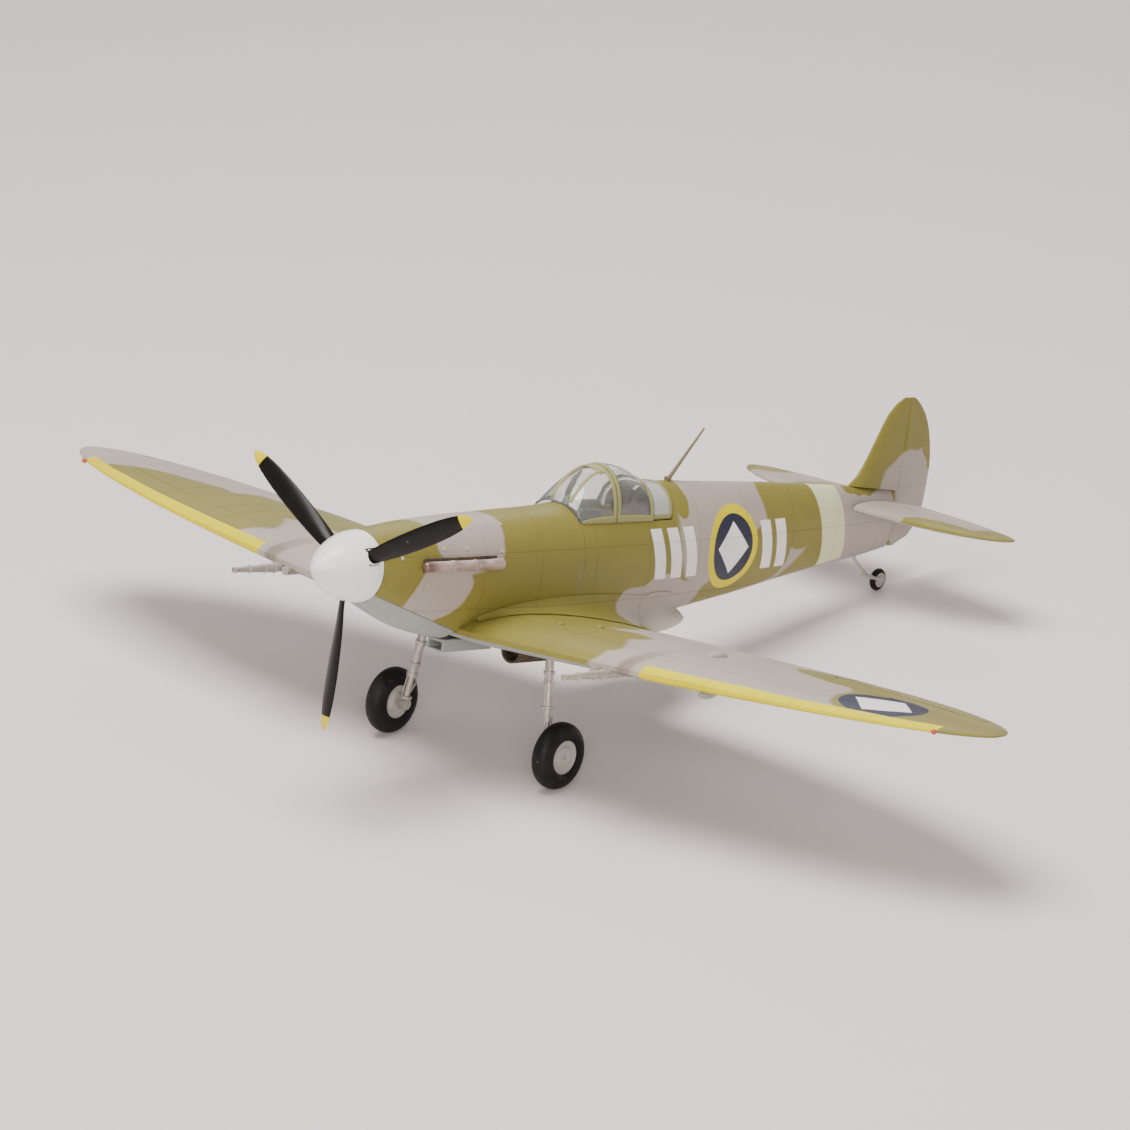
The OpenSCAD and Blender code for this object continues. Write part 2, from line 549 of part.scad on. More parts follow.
module carb_intake() stance() color("lightslategray") difference() {
    translate([-intake_s1, -intake_w/2, wing_surf(intake_s1 - 30, 0, -1) - intake_h])
        cube([intake_s1 - intake_s0, intake_w, intake_h - 0.4]);
    translate([-intake_s0 - 12, -intake_w/2 + 1.5, wing_surf(intake_s1 - 30, 0, -1) - intake_h + 1.5])
        cube([20, intake_w - 3, intake_h - 4]);
    translate([-intake_s1, 0, wing_surf(intake_s1 - 30, 0, -1) - intake_h - 4]) rotate([0, 20, 0])
        translate([-20, -intake_w, -10]) cube([40, 2*intake_w, 10]);
    wing_under(intake_s0 - 4, intake_s1 + 2);
}
// Block above the wing's lower surface, to trim what hangs under it
module wing_under(s0, s1) skin([for (y = [-12, 0, 20, knee_y, 44, 60]) concat(
    [for (k = [0:8]) let(s = s0 + (s1 - s0)*k/8) [-s, y, wing_surf(s, abs(y), -1) - 0.15]],
    [for (k = [8:-1:0]) let(s = s0 + (s1 - s0)*k/8) [-s, y, 0]])]);
cooler_y = 38;
cooler_d = 17;
module oil_cooler() stance() color("darkslategray") difference() {
    along_x(164, cooler_y, -53) cylinder(d = cooler_d, h = 40);
    along_x(163, cooler_y, -53) cylinder(d = cooler_d - 3, h = 12);
    wing_under(160, 208);
}

// ---- wing furniture
module stand_socket() stance() color("gold") translate([-socket_s, 0, socket_face]) difference() {
    cylinder(d = socket_d + 2*socket_wall, h = socket_deep + 2);
    translate([0, 0, -1]) cylinder(d = socket_d, h = socket_deep + 1);
}
module spar_tubes() stance() color("dimgray") for (m = [0, 1]) mirror([0, m, 0]) difference() {
    rod(spar_pt(spar_in), spar_pt(spar_out), spar_d - 2*run);
    rod(spar_pt(spar_in - 1), spar_pt(spar_out + 1), spar_d - 2*spar_wall);
}
module spar_joiner() stance() color("silver") for (m = [0, 1]) mirror([0, m, 0])
    rod(spar_pt(0), spar_pt(joiner_len), spar_d - 2*spar_wall - 2*run);
module aileron() skin([for (y = steps(ail_y0, ail_y1, 6)) aileron_ring(y)], turned = true);
module aileron_left() stance() color("darkkhaki") aileron();
module aileron_right() stance() color("darkkhaki") mirror([0, 1, 0]) aileron();
module aileron_servos() stance() color("royalblue") for (m = [0, 1]) mirror([0, m, 0])
    translate(servo_at(0) + [0.2, 0.2, 0]) cube([servo_l, servo_w, servo_t - 0.3]);
module cannons() stance() color("silver") for (m = [0, 1]) mirror([0, m, 0]) {
    along_x(cannon_tip_s, cannon_y, cannon_z) rotate_extrude() polygon([[0, 0], [cannon_mouth/2, 0],
        [cannon_d/2, cannon_root_s - 26 - cannon_tip_s], [cannon_d/2, cannon_root_s - cannon_tip_s],
        [0, cannon_root_s - cannon_tip_s]]);
    along_x(cannon_root_s - 20, stub_y, cannon_z) cylinder(d = cannon_d, h = 20);
}
light_y = half_span - 28;
module nav_lights() stance() color("firebrick") for (m = [0, 1]) mirror([0, m, 0])
    translate([-wing_le(light_y) + 1.9, light_y, wing_pt(light_y, 0, 0)[2]]) sphere(d = 3.6);

// ---- fillets between the wing and the fuselage
fillet_s0 = wing_le_s + 12;
fillet_gap = 0.4;
fillet_s1 = wing_end_s + 48;
fillet_w = 30;
fillet_h = 23;
fillet_rise = 8;
fillet_n = 8;
function grow_f(s) = s < wing_end_s ? 0.12 + 0.88*pow((s - fillet_s0)/(wing_end_s - fillet_s0), 1.2)
    : sqrt(max(0.01, 1 - pow((s - wing_end_s)/(fillet_s1 - wing_end_s + 1), 2)));
function under(s, y) = s < wing_end_s - 1 ? wing_surf(s, y, 1) + 2*skin_gap
    : wing_surf(wing_end_s - 1, y, 1) + 2*skin_gap + fillet_rise*(s - wing_end_s + 1)/(fillet_s1 - wing_end_s);
function fillet_ring(s) = let(g = grow_f(s), w = g*fillet_w, h = g*fillet_h,
    zc = under(s, knee_y - 6),
    yc = side_y(s, zc) + fillet_gap, pa = [yc + w, under(s, yc + w) + 0.4],
    pb = [side_y(s, zc + h) + fillet_gap + 0.5, zc + h], ha = [yc + 0.5*w, under(s, yc + 0.5*w) + 1],
    hb = [side_y(s, zc + 0.45*h) + 1.6, zc + 0.45*h]) concat(
    [for (k = [0:fillet_n]) let(t = k/fillet_n,
        p = pow(1 - t, 3)*pa + 3*t*pow(1 - t, 2)*ha + 3*t*t*(1 - t)*hb + t*t*t*pb) [-s, p[0], p[1]]],
    [for (k = [fillet_n:-1:0]) let(t = 2*k/fillet_n, y = yc + w*(1 - t), z = zc + h*(t - 1)) t <= 1
        ? [-s, y, under(s, y)] : [-s, side_y(s, z) + fillet_gap, z]]);
module fillet() skin([for (s = concat(
    [for (f = steps(0, 1, 11)) fillet_s0 + (wing_end_s - 1.2 - fillet_s0)*pow(f, 1.4)],
    steps(wing_end_s - 1, fillet_s1, 5))) fillet_ring(s)], turned = true);
module fillet_left() stance() color("darkkhaki") fillet();
module fillet_right() stance() color("darkkhaki") mirror([0, 1, 0]) fillet();

// ---- main undercarriage
tyre_h = 9;
rim_r = wheel_d/2 - tyre_h;
hub_in = 1.5;
module gear_leg() {
    leg_frame() {
        translate([0, 0, 22]) cylinder(d = leg_d, h = leg_len - 22);
        translate([0, 0, -2]) cylinder(d = leg_d - 1.6, h = 26);
        for (z = [20, leg_len - 26]) translate([0, 0, z]) cylinder(d = leg_d + 2, h = 3);
    }
    leg_block();
    across(main_s, leg_y - 2, main_z) cylinder(d = axle_d, h = wheel_y + tyre_w/2 - leg_y);
    across(main_s, leg_y - 3, main_z) cylinder(d = leg_d + 1.5, h = 5.5);
}
module gear_leg_left() stance() color("silver") gear_leg();
module gear_leg_right() stance() color("silver") mirror([0, 1, 0]) gear_leg();
module wheel() across(main_s, wheel_y - tyre_w/2, main_z) difference() {
    translate([0, 0, hub_in]) cylinder(r = rim_r - run, h = tyre_w - 2*hub_in);
    translate([0, 0, tyre_w - hub_in - 2.5]) difference() {
        cylinder(r = rim_r - 2, h = 4);
        translate([0, 0, -1]) cylinder(r = 5, h = 6);
    }
    translate([0, 0, -1]) cylinder(d = axle_d + 2*run, h = tyre_w);
}
module wheel_left() stance() color("lightgray") wheel();
module wheel_right() stance() color("lightgray") mirror([0, 1, 0]) wheel();
module tyre_shape(r, w, h) rotate_extrude($fn = 72) polygon([for (a = [-90:15:90])
    [r - h + h*pow(cos(a), 0.75), w/2*(1 + spow(sin(a), 0.85))]]);
module tyre() across(main_s, wheel_y - tyre_w/2, main_z) tyre_shape(wheel_d/2, tyre_w, tyre_h);
module tyre_left() stance() color("black") tyre();
module tyre_right() stance() color("black") mirror([0, 1, 0]) tyre();

// ---- tail surfaces: heights are shares of the fin above its foot
joiner_d = 2;
post_d = 2.4;
fin_foot = 34;
fin_t = 0.09;
function fz(f) = fin_foot + f*(fin_top - fin_foot);
fin_front = [[20, -60], [fin_foot, -53], [fz(0.1), -46], [fz(0.25), -39], [fz(0.48), -31], [fz(0.65), -25.5],
    [fz(0.82), -19], [fz(0.93), -11], [fz(0.992), -3]];
rudder_back = [[-10, 8], [-6, 21], [2, 30], [12, 35.5], [22, 38], [fin_foot, 38.5], [fz(0.25), 38],
    [fz(0.46), 34.5], [fz(0.65), 29.5], [fz(0.82), 22], [fz(0.93), 14], [fz(0.992), 7]];
function fin_le(z) = stern_s + smooth(fin_front, max(20, z));
function rud_te(z) = stern_s + smooth(rudder_back, z);
function fin_half(s, z) = let(c = rud_te(z) - fin_le(z), u = (s - fin_le(z))/c)
    c*bulge(min(1, max(0, u)), fin_t) + te_half;
function rud_r(z) = fin_half(hinge_s, z) - 0.1;
function eased(s0, s1) = [for (k = [0:7]) s0 + (s1 - s0)*(1 - cos(180*(k + 0.4)/7.4))/2];
function both(l, i, j) = concat(l,
    [for (k = [len(l) - 1:-1:0]) [for (c = [0:2]) c == i ? 2*j - l[k][c] : l[k][c]]]);
function fin_ring(z, foot = false) = both([for (s = eased(fin_le(z), hinge_s - rud_r(z) - hinge_gap))
    [-s, fin_half(s, z), foot ? top_z(min(stern_s, s)) + skin_gap : z]], 1, 0);
function rudder_ring(z) = both(concat(
    [for (a = [15:24:87]) [-hinge_s + rud_r(z)*cos(a), rud_r(z)*sin(a), z]],
    [for (s = steps(hinge_s, rud_te(z), 4)) [-s, fin_half(s, z), z]]), 1, 0);
module fin() stance() color("darkkhaki") skin(concat([fin_ring(fin_foot, true)],
    [for (f = steps(0.12, 0.92, 7)) fin_ring(fz(f))], [fin_ring(fz(0.985))]));
module rudder() stance() color("darkkhaki") skin([for (z = concat(steps(-9.5, 10, 3),
    steps(20, fz(0.2), 3), steps(fz(0.3), fz(0.9), 6), [fz(0.95), fz(0.985)])) rudder_ring(z)]);
plane_t = 0.1;
elev_y0 = 11.5;
elev_y1 = 0.88*tail_span/2;
function tail_ell(y) = sqrt(max(0, 1 - pow(2*y/tail_span, 2)));
function plane_le(y) = stern_s - 58 + 47*(1 - tail_ell(y));
function plane_te(y) = stern_s + 14 - 25*(1 - tail_ell(y));
function plane_half(s, y) = let(c = plane_te(y) - plane_le(y))
    c*bulge(min(1, max(0, (s - plane_le(y))/c)), plane_t) + te_half;
function elev_r(y) = plane_half(joiner_s, y) - 0.1;
function plane_ring(y, s1, root = false) = both([for (s = eased(plane_le(y), s1))
    [-s, root ? side_y(min(s, stern_s), elev_z - 3.5) + 2*skin_gap : y, elev_z + plane_half(s, y)]], 2, elev_z);
function elev_ring(y) = both(concat(
    [for (a = [15:24:87]) [-joiner_s + elev_r(y)*cos(a), y, elev_z + elev_r(y)*sin(a)]],
    [for (s = steps(joiner_s, plane_te(y), 3)) [-s, y, elev_z + plane_half(s, y)]]), 2, elev_z);
function plane_cut(y) = joiner_s - elev_r(y) - hinge_gap;
root_y = elev_y0 - 4;
module tailplane() stance() color("darkkhaki") for (m = [0, 1]) mirror([0, m, 0]) skin(concat(
    [plane_ring(root_y, plane_cut(root_y), true)],
    [for (y = steps(elev_y0 + 3, elev_y1 + 1.2, 6)) plane_ring(y, plane_cut(y))],
    [for (a = steps(asin(2*(elev_y1 + 1.4)/tail_span), 85, 4))
        let(y = tail_span/2*sin(a)) plane_ring(y, plane_te(y))]), turned = true);
module elevators() stance() color("darkkhaki") {
    for (m = [0, 1]) mirror([0, m, 0]) skin([for (y = steps(elev_y0, elev_y1, 5)) elev_ring(y)], turned = true);
    across(joiner_s, run - elev_y0, elev_z) cylinder(d = joiner_d, h = 2*elev_y0 - 2*run);
    translate([-joiner_s, 0, elev_z]) rotate([0, 180, 0]) cylinder(d = horn_d, h = horn_len + 0.5);
}

// ---- tail wheel
bearing_d = 7;
bearing_z = inner_low(steer_s + bearing_d/2, bearing_d/2) + inner_gap;
module tail_bearing() stance() color("burlywood") translate([-steer_s, 0, bearing_z]) difference() {
    cylinder(d = bearing_d, h = tiller_z - tiller_t - run - bearing_z);
    translate([0, 0, -1]) cylinder(d = post_d + 2*run, h = 30);
}
fork_s = steer_s + 19;
fork_z = tail_wheel_z + 3;
fork_y = 4.4;
tail_axle_d = 2;
module tail_wheel_fork() stance() color("silver") {
    translate([-steer_s, 0, low_z(steer_s) - 2]) cylinder(d = post_d, h = tiller_z - low_z(steer_s) + 2);
    translate([-steer_s - 1.2, -tiller_y - 1.2, tiller_z - tiller_t]) cube([2.4, tiller_y + 2.2, tiller_t]);
    translate([-steer_s, 0, low_z(steer_s) - 2]) sphere(d = post_d + 0.4);
    rod([-steer_s, 0, low_z(steer_s) - 2], [-fork_s, 0, fork_z], post_d + 0.2);
    across(fork_s, -fork_y, fork_z) cylinder(d = 3, h = 2*fork_y);
    for (y = [-fork_y, fork_y]) rod([-fork_s, y, fork_z], [-tail_wheel_s, y, tail_wheel_z], 2.4);
    across(tail_wheel_s, -fork_y, tail_wheel_z) cylinder(d = tail_axle_d, h = 2*fork_y);
}
module tail_wheel() stance() color("black") across(tail_wheel_s, -2.8, tail_wheel_z) difference() {
    tyre_shape(tail_wheel_d/2, 5.6, tail_wheel_d/2 - 0.5);
    translate([0, 0, -1]) cylinder(d = tail_axle_d + 2*run, h = 8);
}

fuselage_left();
fuselage_right();
lower_cowl();
firewall();
motor_stator();
motor_bell();
motor_shaft();
spinner();
spinner_backplate();
propeller();
prop_nut();
speed_controller();
equipment_tray();
battery();
receiver();
wing_plate();
servo_tray();
tail_servos();
tail_bearing();
elevator_arm();
rudder_arm();
elevator_rod();
rudder_rod();
windscreen();
sliding_hood();
rear_glazing();
cockpit_tub();
seat();
headrest();
antenna_mast();
spine_light();
exhaust_left();
exhaust_right();
carb_intake();
oil_cooler();
wing_left();
wing_right();
fillet_left();
fillet_right();
spar_tubes();
spar_joiner();
wing_bolts();
stand_socket();
aileron_left();
aileron_right();
aileron_servos();
cannons();
nav_lights();
gear_leg_left();
gear_leg_right();
wheel_left();
wheel_right();
tyre_left();
tyre_right();
fin();
rudder();
tailplane();
elevators();
tail_wheel_fork();
tail_wheel();
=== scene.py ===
"""Looks of a radio-controlled low-wing warbird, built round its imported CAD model.

Shapes are worked out in millimetres on the level aircraft: the spinner's tip is the origin, x runs
forwards, y to the port wing tip and z up. "s" is the distance behind the tip, so s = -x.
"""

import json  # noqa: E402
import logging  # noqa: E402
import math  # noqa: E402
from collections.abc import Callable, Iterable, Sequence  # noqa: E402
from dataclasses import dataclass, field  # noqa: E402
from enum import Enum  # noqa: E402

import bmesh  # noqa: E402
import bpy  # noqa: E402
from mathutils import Matrix, Vector  # noqa: E402


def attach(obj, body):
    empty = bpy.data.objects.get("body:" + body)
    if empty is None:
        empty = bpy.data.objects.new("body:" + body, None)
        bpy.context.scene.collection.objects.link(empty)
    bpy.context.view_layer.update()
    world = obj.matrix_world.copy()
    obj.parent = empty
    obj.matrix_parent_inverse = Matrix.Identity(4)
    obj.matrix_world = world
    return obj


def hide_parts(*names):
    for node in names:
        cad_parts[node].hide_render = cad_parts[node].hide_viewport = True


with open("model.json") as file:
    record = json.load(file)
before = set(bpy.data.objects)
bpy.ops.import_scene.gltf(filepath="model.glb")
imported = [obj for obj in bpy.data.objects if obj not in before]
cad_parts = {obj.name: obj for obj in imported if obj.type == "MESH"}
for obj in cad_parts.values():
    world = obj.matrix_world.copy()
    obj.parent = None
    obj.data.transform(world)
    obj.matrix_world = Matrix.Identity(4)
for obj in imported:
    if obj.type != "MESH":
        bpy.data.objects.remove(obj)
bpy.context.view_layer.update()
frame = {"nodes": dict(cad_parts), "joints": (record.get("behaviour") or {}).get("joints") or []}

log = logging.getLogger("warbird")

MM = 0.001  # metres
MERGE = 1e-4  # vertices closer than this are one, in millimetres
NODE_MERGE = 1e-6  # the same for CAD nodes, in metres
FLAT_DEG = 1.5  # faces that meet at less are one facet
PAINT_SHINE = 0.22  # specular level of aged paint
UPWARD = -0.12  # a face that leans further down than this is an under face
SPIN_JOINT = next(j for j in frame["joints"] if j["name"] == "propeller_spin")
PITCH = math.atan2(SPIN_JOINT["axis"][2], SPIN_JOINT["axis"][0])
LEVEL = Matrix.Translation(SPIN_JOINT["pos_m"]) @ Matrix.Rotation(-PITCH, 4, "Y") @ Matrix.Scale(MM, 4)

Colour = tuple[float, float, float, float]
Law = Callable[[float, float], Vector]


class Body(Enum):
    """Moving bodies that the pieces ride on."""

    AIRFRAME = "airframe"
    PROPELLER = "propeller_unit"
    LEFT_WHEEL = "left_wheel"
    RIGHT_WHEEL = "right_wheel"
    RUDDER = "rudder_body"
    ELEVATOR = "elevator_body"
    LEFT_AILERON = "left_aileron"
    RIGHT_AILERON = "right_aileron"
    HOOD = "hood"
    TAIL_STRUT = "tail_strut"
    TAIL_ROLLER = "tail_roller"


class Side(Enum):
    """The two sides of the aircraft."""

    LEFT = 1
    RIGHT = -1

    @property
    def word(self) -> str:
        """The side's word in the names of pieces."""
        return self.name.lower()


# ---- shape laws, all in millimetres on the level aircraft, "s" being the distance behind the tip


def smooth_row(table: Sequence[Sequence[float]], at: float, column: int) -> float:
    """Reads one column of a table with a smooth curve through its rows.

    Args:
        table: rows that start with the place they hold for.
        at: the place to read.
        column: the column to read.

    Returns:
        The value there.
    """
    last = len(table) - 1
    i = max(0, min(last - 1, next((k for k in range(last) if at < table[k + 1][0]), last - 1)))

    def slope(k: int) -> float:
        """Slope of the curve at row k."""
        a, b = table[max(0, k - 1)], table[min(last, k + 1)]
        return (b[column] - a[column]) / (b[0] - a[0])

    h = table[i + 1][0] - table[i][0]
    x = (at - table[i][0]) / h
    return ((2 * x**3 - 3 * x * x + 1) * table[i][column] + (x**3 - 2 * x * x + x) * h * slope(i)
            + (3 * x * x - 2 * x**3) * table[i + 1][column] + (x**3 - x * x) * h * slope(i + 1))


def signed_power(value: float, exponent: float) -> float:
    """A power that keeps the sign of its base."""
    return math.copysign(abs(value) ** exponent, value)


def spread(a: float, b: float, count: int) -> list[float]:
    """Evenly spaced values from a to b, both included, in count steps."""
    return [a + (b - a) * k / count for k in range(count + 1)]


def bulge(u: float, thickness: float) -> float:
    """Half thickness of the section at share u of its chord, as a share of the chord."""
    u = min(1.0, max(0.0, u))
    return 5 * thickness * (0.2969 * math.sqrt(u) - 0.126 * u - 0.3516 * u**2 + 0.2843 * u**3 - 0.1036 * u**4)


@dataclass(frozen=True)
class BodyLaw:
    """Outline of the fuselage: a rounded section that changes along its length."""

    half_width: float = 31.0
    nose_s: float = 42.0
    sill_s: float = 236.0
    glaze_s: float = 334.0
    stern_s: float = 607.0
    sill_z: float = 25.0
    low_e: float = 2.2
    stations: tuple[tuple[float, ...], ...] = (
        (42, 0.76, 23.5, -23.8, 0, 2), (62, 0.83, 25.8, -33, -1, 2.1), (88, 0.89, 28, -43, -2, 2.2),
        (126, 0.95, 30, -51, -3, 2.2), (176, 0.98, 31.5, -55, -4, 2.2), (232, 1, 34, -56, -4, 2.1),
        (280, 1, 42, -54, -3, 1.8), (334, 0.95, 46.5, -49, -2, 1.7), (374.95, 0.86, 45, -42.5, -1, 1.75),
        (426.82, 0.74, 43, -35.5, 1, 1.8), (475.96, 0.6, 40.5, -28, 4, 1.9), (525.1, 0.44, 37.5, -21.5, 7, 2),
        (574.24, 0.27, 34, -15.5, 9, 2), (607, 0.14, 31, -10.5, 11, 2))

    def read(self, s: float) -> tuple[float, float, float, float, float]:
        """Half width, top, bottom, middle height and upper roundness at s."""
        width, top, low, mid, power = (smooth_row(self.stations, s, k) for k in range(1, 6))
        return self.half_width * width, top, low, mid, power

    def point(self, s: float, angle: float, out: float = 0.0) -> Vector:
        """A point on the skin.

        Args:
            s: distance behind the spinner's tip.
            angle: turn round the section in degrees, 0 on the port side, 90 on top.
            out: how far the point stands proud of the skin.

        Returns:
            The point.
        """
        half, top, low, mid, power = self.read(s)
        sine, cosine = math.sin(math.radians(angle)), math.cos(math.radians(angle))
        up = sine > 0
        e, h = (2 / power, top - mid) if up else (2 / self.low_e, mid - low)
        return Vector((-s, (half + out) * signed_power(cosine, e), mid + (h + out) * signed_power(sine, e)))

    def angle_at(self, s: float, z: float) -> float:
        """Turn round the section, in degrees, where the port skin is at height z."""
        _, top, low, mid, power = self.read(s)
        up = z > mid
        e, h = (power, top - mid) if up else (self.low_e, mid - low)
        return math.copysign(math.degrees(math.asin(min(1.0, abs(z - mid) / h) ** (e / 2))), z - mid)

    def side_y(self, s: float, z: float) -> float:
        """Distance of the port skin from the middle plane at height z."""
        return self.point(s, self.angle_at(s, z)).y

    def on_side(self, s: float, z: float, out: float = 0.0) -> Vector:
        """A point of the port side at height z, standing proud by out."""
        return self.point(s, self.angle_at(s, z), out)


@dataclass(frozen=True)
class WingLaw:
    """Outline of the wing: a half ellipse for each edge, with a bulged section between them."""

    half_span: float = 400.0
    le_s: float = 128.0
    root_chord: float = 180.0
    tip_setback: float = 81.0
    root_z: float = -44.5
    knee_y: float = 28.0
    dihedral: float = 3.8
    edge: float = 0.25

    def fade(self, y: float) -> float:
        """Share of the root's size at y on the ellipse."""
        return 1 - math.sqrt(max(0.0, 1 - (y / self.half_span) ** 2))

    def lead(self, y: float) -> float:
        """Leading edge's distance behind the tip of the spinner."""
        return self.le_s + self.tip_setback * self.fade(y)

    def trail(self, y: float) -> float:
        """Trailing edge's distance behind the tip of the spinner."""
        return self.le_s + self.root_chord - (self.root_chord - self.tip_setback) * self.fade(y)

    def point(self, y: float, u: float, side: float, lift: float = 0.0) -> Vector:
        """A point on the wing's skin.

        Args:
            y: distance from the middle plane.
            u: share of the chord behind the leading edge.
            side: 1 above, -1 below, 0 on the mean line.
            lift: how far the point stands proud of the skin.

        Returns:
            The point.
        """
        c = self.trail(y) - self.lead(y)
        base = self.root_z + max(0.0, y - self.knee_y) * math.tan(math.radians(self.dihedral))
        camber = 0.08 * u * (1 - u) + (0.3 - u) * math.tan(math.radians(2 - 2.5 * y / self.half_span))
        half = bulge(u, 0.125 - 0.055 * y / self.half_span)
        height = base + c * (camber + side * half) + side * (self.edge + lift)
        return Vector((-(self.lead(y) + u * c), y, height))

    def surface(self, s: float, y: float, side: float) -> float:
        """Height of the skin at a place in plan."""
        share = (s - self.lead(y)) / (self.trail(y) - self.lead(y))
        return self.point(y, min(1.0, max(0.0, share)), side).z

BODY, WING = BodyLaw(), WingLaw()
AFT, PORT, UP = Vector((-1, 0, 0)), Vector((0, 1, 0)), Vector((0, 0, 1))


# ---- mesh tools: a bmesh in level millimetres is shaped by operators and then made a piece


def sheet(rows: Sequence[float], columns: Sequence[float], law: Law) -> bmesh.types.BMesh:
    """Lays a grid over a surface.

    Args:
        rows: first parameter of each row of vertices.
        columns: second parameter of each column.
        law: gives the point at a row and a column.

    Returns:
        The new mesh, with rows that meet joined.
    """
    bm = bmesh.new()
    across, along = len(rows) - 1, len(columns) - 1
    bmesh.ops.create_grid(bm, x_segments=across, y_segments=along, size=0.5)
    for vert in bm.verts:
        vert.co = law(rows[round((vert.co.x + 0.5) * across)], columns[round((vert.co.y + 0.5) * along)])
    bmesh.ops.remove_doubles(bm, verts=bm.verts, dist=MERGE)
    return bm


def close_ends(bm: bmesh.types.BMesh) -> bmesh.types.BMesh:
    """Fills every open edge loop of a mesh."""
    bmesh.ops.holes_fill(bm, edges=[e for e in bm.edges if e.is_boundary], sides=0)
    return bm


def turned(profile: Iterable[tuple[float, float]], origin: Vector, axis: Vector, steps: int = 48,
           ) -> bmesh.types.BMesh:
    """Turns a profile round an axis.

    Args:
        profile: pairs of the distance along the axis and the radius.
        origin: where the axis starts.
        axis: direction of the axis.
        steps: faces round the turn.

    Returns:
        The new mesh.
    """
    bm = bmesh.new()
    verts = [bm.verts.new((radius, 0, along)) for along, radius in profile]
    edges = [bm.edges.new(pair) for pair in zip(verts, verts[1:])]
    bmesh.ops.spin(bm, geom=[*verts, *edges], axis=(0, 0, 1), cent=(0, 0, 0), angle=math.tau,
                   steps=steps, use_merge=True)
    bmesh.ops.remove_doubles(bm, verts=bm.verts, dist=MERGE)
    place = Matrix.Translation(origin) @ axis.normalized().to_track_quat("Z", "Y").to_matrix().to_4x4()
    bmesh.ops.transform(bm, matrix=place, verts=bm.verts)
    return bm


def tube(path: Sequence[Vector], radii: Sequence[float], steps: int = 24, flat: float = 1.0,
         ) -> bmesh.types.BMesh:
    """Sweeps a round or oval section along a path.

    Args:
        path: points of the centre line.
        radii: half width of the section at each point.
        steps: faces round the section.
        flat: height of the section as a share of its width.

    Returns:
        The new mesh, with closed ends.
    """
    last = len(path) - 1
    turns = []
    for k in range(last + 1):
        run = path[min(last, k + 1)] - path[max(0, k - 1)]
        turns.append(run.normalized().to_track_quat("X", "Z").to_matrix())

    def law(row: float, angle: float) -> Vector:
        """A point of the swept wall."""
        k = round(row)
        ring = Vector((0, radii[k] * math.cos(angle), flat * radii[k] * math.sin(angle)))
        return path[k] + turns[k] @ ring

    return close_ends(sheet(range(last + 1), spread(0, math.tau, steps), law))


def block(low: Vector, high: Vector, edge: float = 0.4, segments: int = 2) -> bmesh.types.BMesh:
    """A block with rounded edges.

    Args:
        low: lowest corner.
        high: highest corner.
        edge: width of the rounding.
        segments: faces across the rounding.

    Returns:
        The new mesh.
    """
    bm = bmesh.new()
    bmesh.ops.create_cube(bm, size=1)
    bmesh.ops.scale(bm, vec=high - low, verts=bm.verts)
    bmesh.ops.translate(bm, vec=(low + high) / 2, verts=bm.verts)
    bmesh.ops.bevel(bm, geom=bm.edges[:], offset=edge, segments=segments, profile=0.5,
                    affect="EDGES", material=-1)
    return bm


def gather(parts: Iterable[bmesh.types.BMesh]) -> bmesh.types.BMesh:
    """Joins several meshes into the first one."""
    parts = list(parts)
    for extra in parts[1:]:
        scratch = bpy.data.meshes.new("scratch")
        extra.to_mesh(scratch)
        extra.free()
        parts[0].from_mesh(scratch)
        bpy.data.meshes.remove(scratch)
    return parts[0]


def mirrored(bm: bmesh.types.BMesh, side: Side) -> bmesh.types.BMesh:
    """Moves a port-side mesh to the side asked for."""
    bmesh.ops.scale(bm, vec=(1, side.value, 1), verts=bm.verts)
    return bm


def link_piece(bm: bmesh.types.BMesh, name: str, body: Body,
               finishes: Sequence[bpy.types.Material], replaces: Sequence[str] = (),
               crease: float = 32.0) -> bpy.types.Object:
    """Makes a mesh in the row frame a piece of the aircraft.

    Args:
        bm: the mesh, which is freed.
        name: the piece's name.
        body: the body it rides on.
        finishes: its materials.
        replaces: CAD nodes that it stands for.
        crease: angle in degrees past which an edge is shaded sharp.

    Returns:
        The new object.
    """
    bmesh.ops.recalc_face_normals(bm, faces=bm.faces)
    for face in bm.faces:
        face.smooth = True
    for edge in bm.edges:
        edge.smooth = edge.calc_face_angle(0.0) < math.radians(crease)
    mesh = bpy.data.meshes.new(name)
    bm.to_mesh(mesh)
    bm.free()
    for finish in finishes:
        mesh.materials.append(finish)
    piece = bpy.data.objects.new(name, mesh)
    bpy.context.scene.collection.objects.link(piece)
    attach(piece, body.value)
    if replaces:
        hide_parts(*replaces)
    log.info("%s rides on %s with %d faces", name, body.value, len(mesh.polygons))
    return piece


def make_piece(bm: bmesh.types.BMesh, name: str, body: Body,
               finishes: Sequence[bpy.types.Material], replaces: Sequence[str] = (),
               crease: float = 32.0) -> bpy.types.Object:
    """Sets a mesh made in level millimetres on its stance and links it, as link_piece does."""
    bmesh.ops.transform(bm, matrix=LEVEL, verts=bm.verts)
    return link_piece(bm, name, body, finishes, replaces, crease)


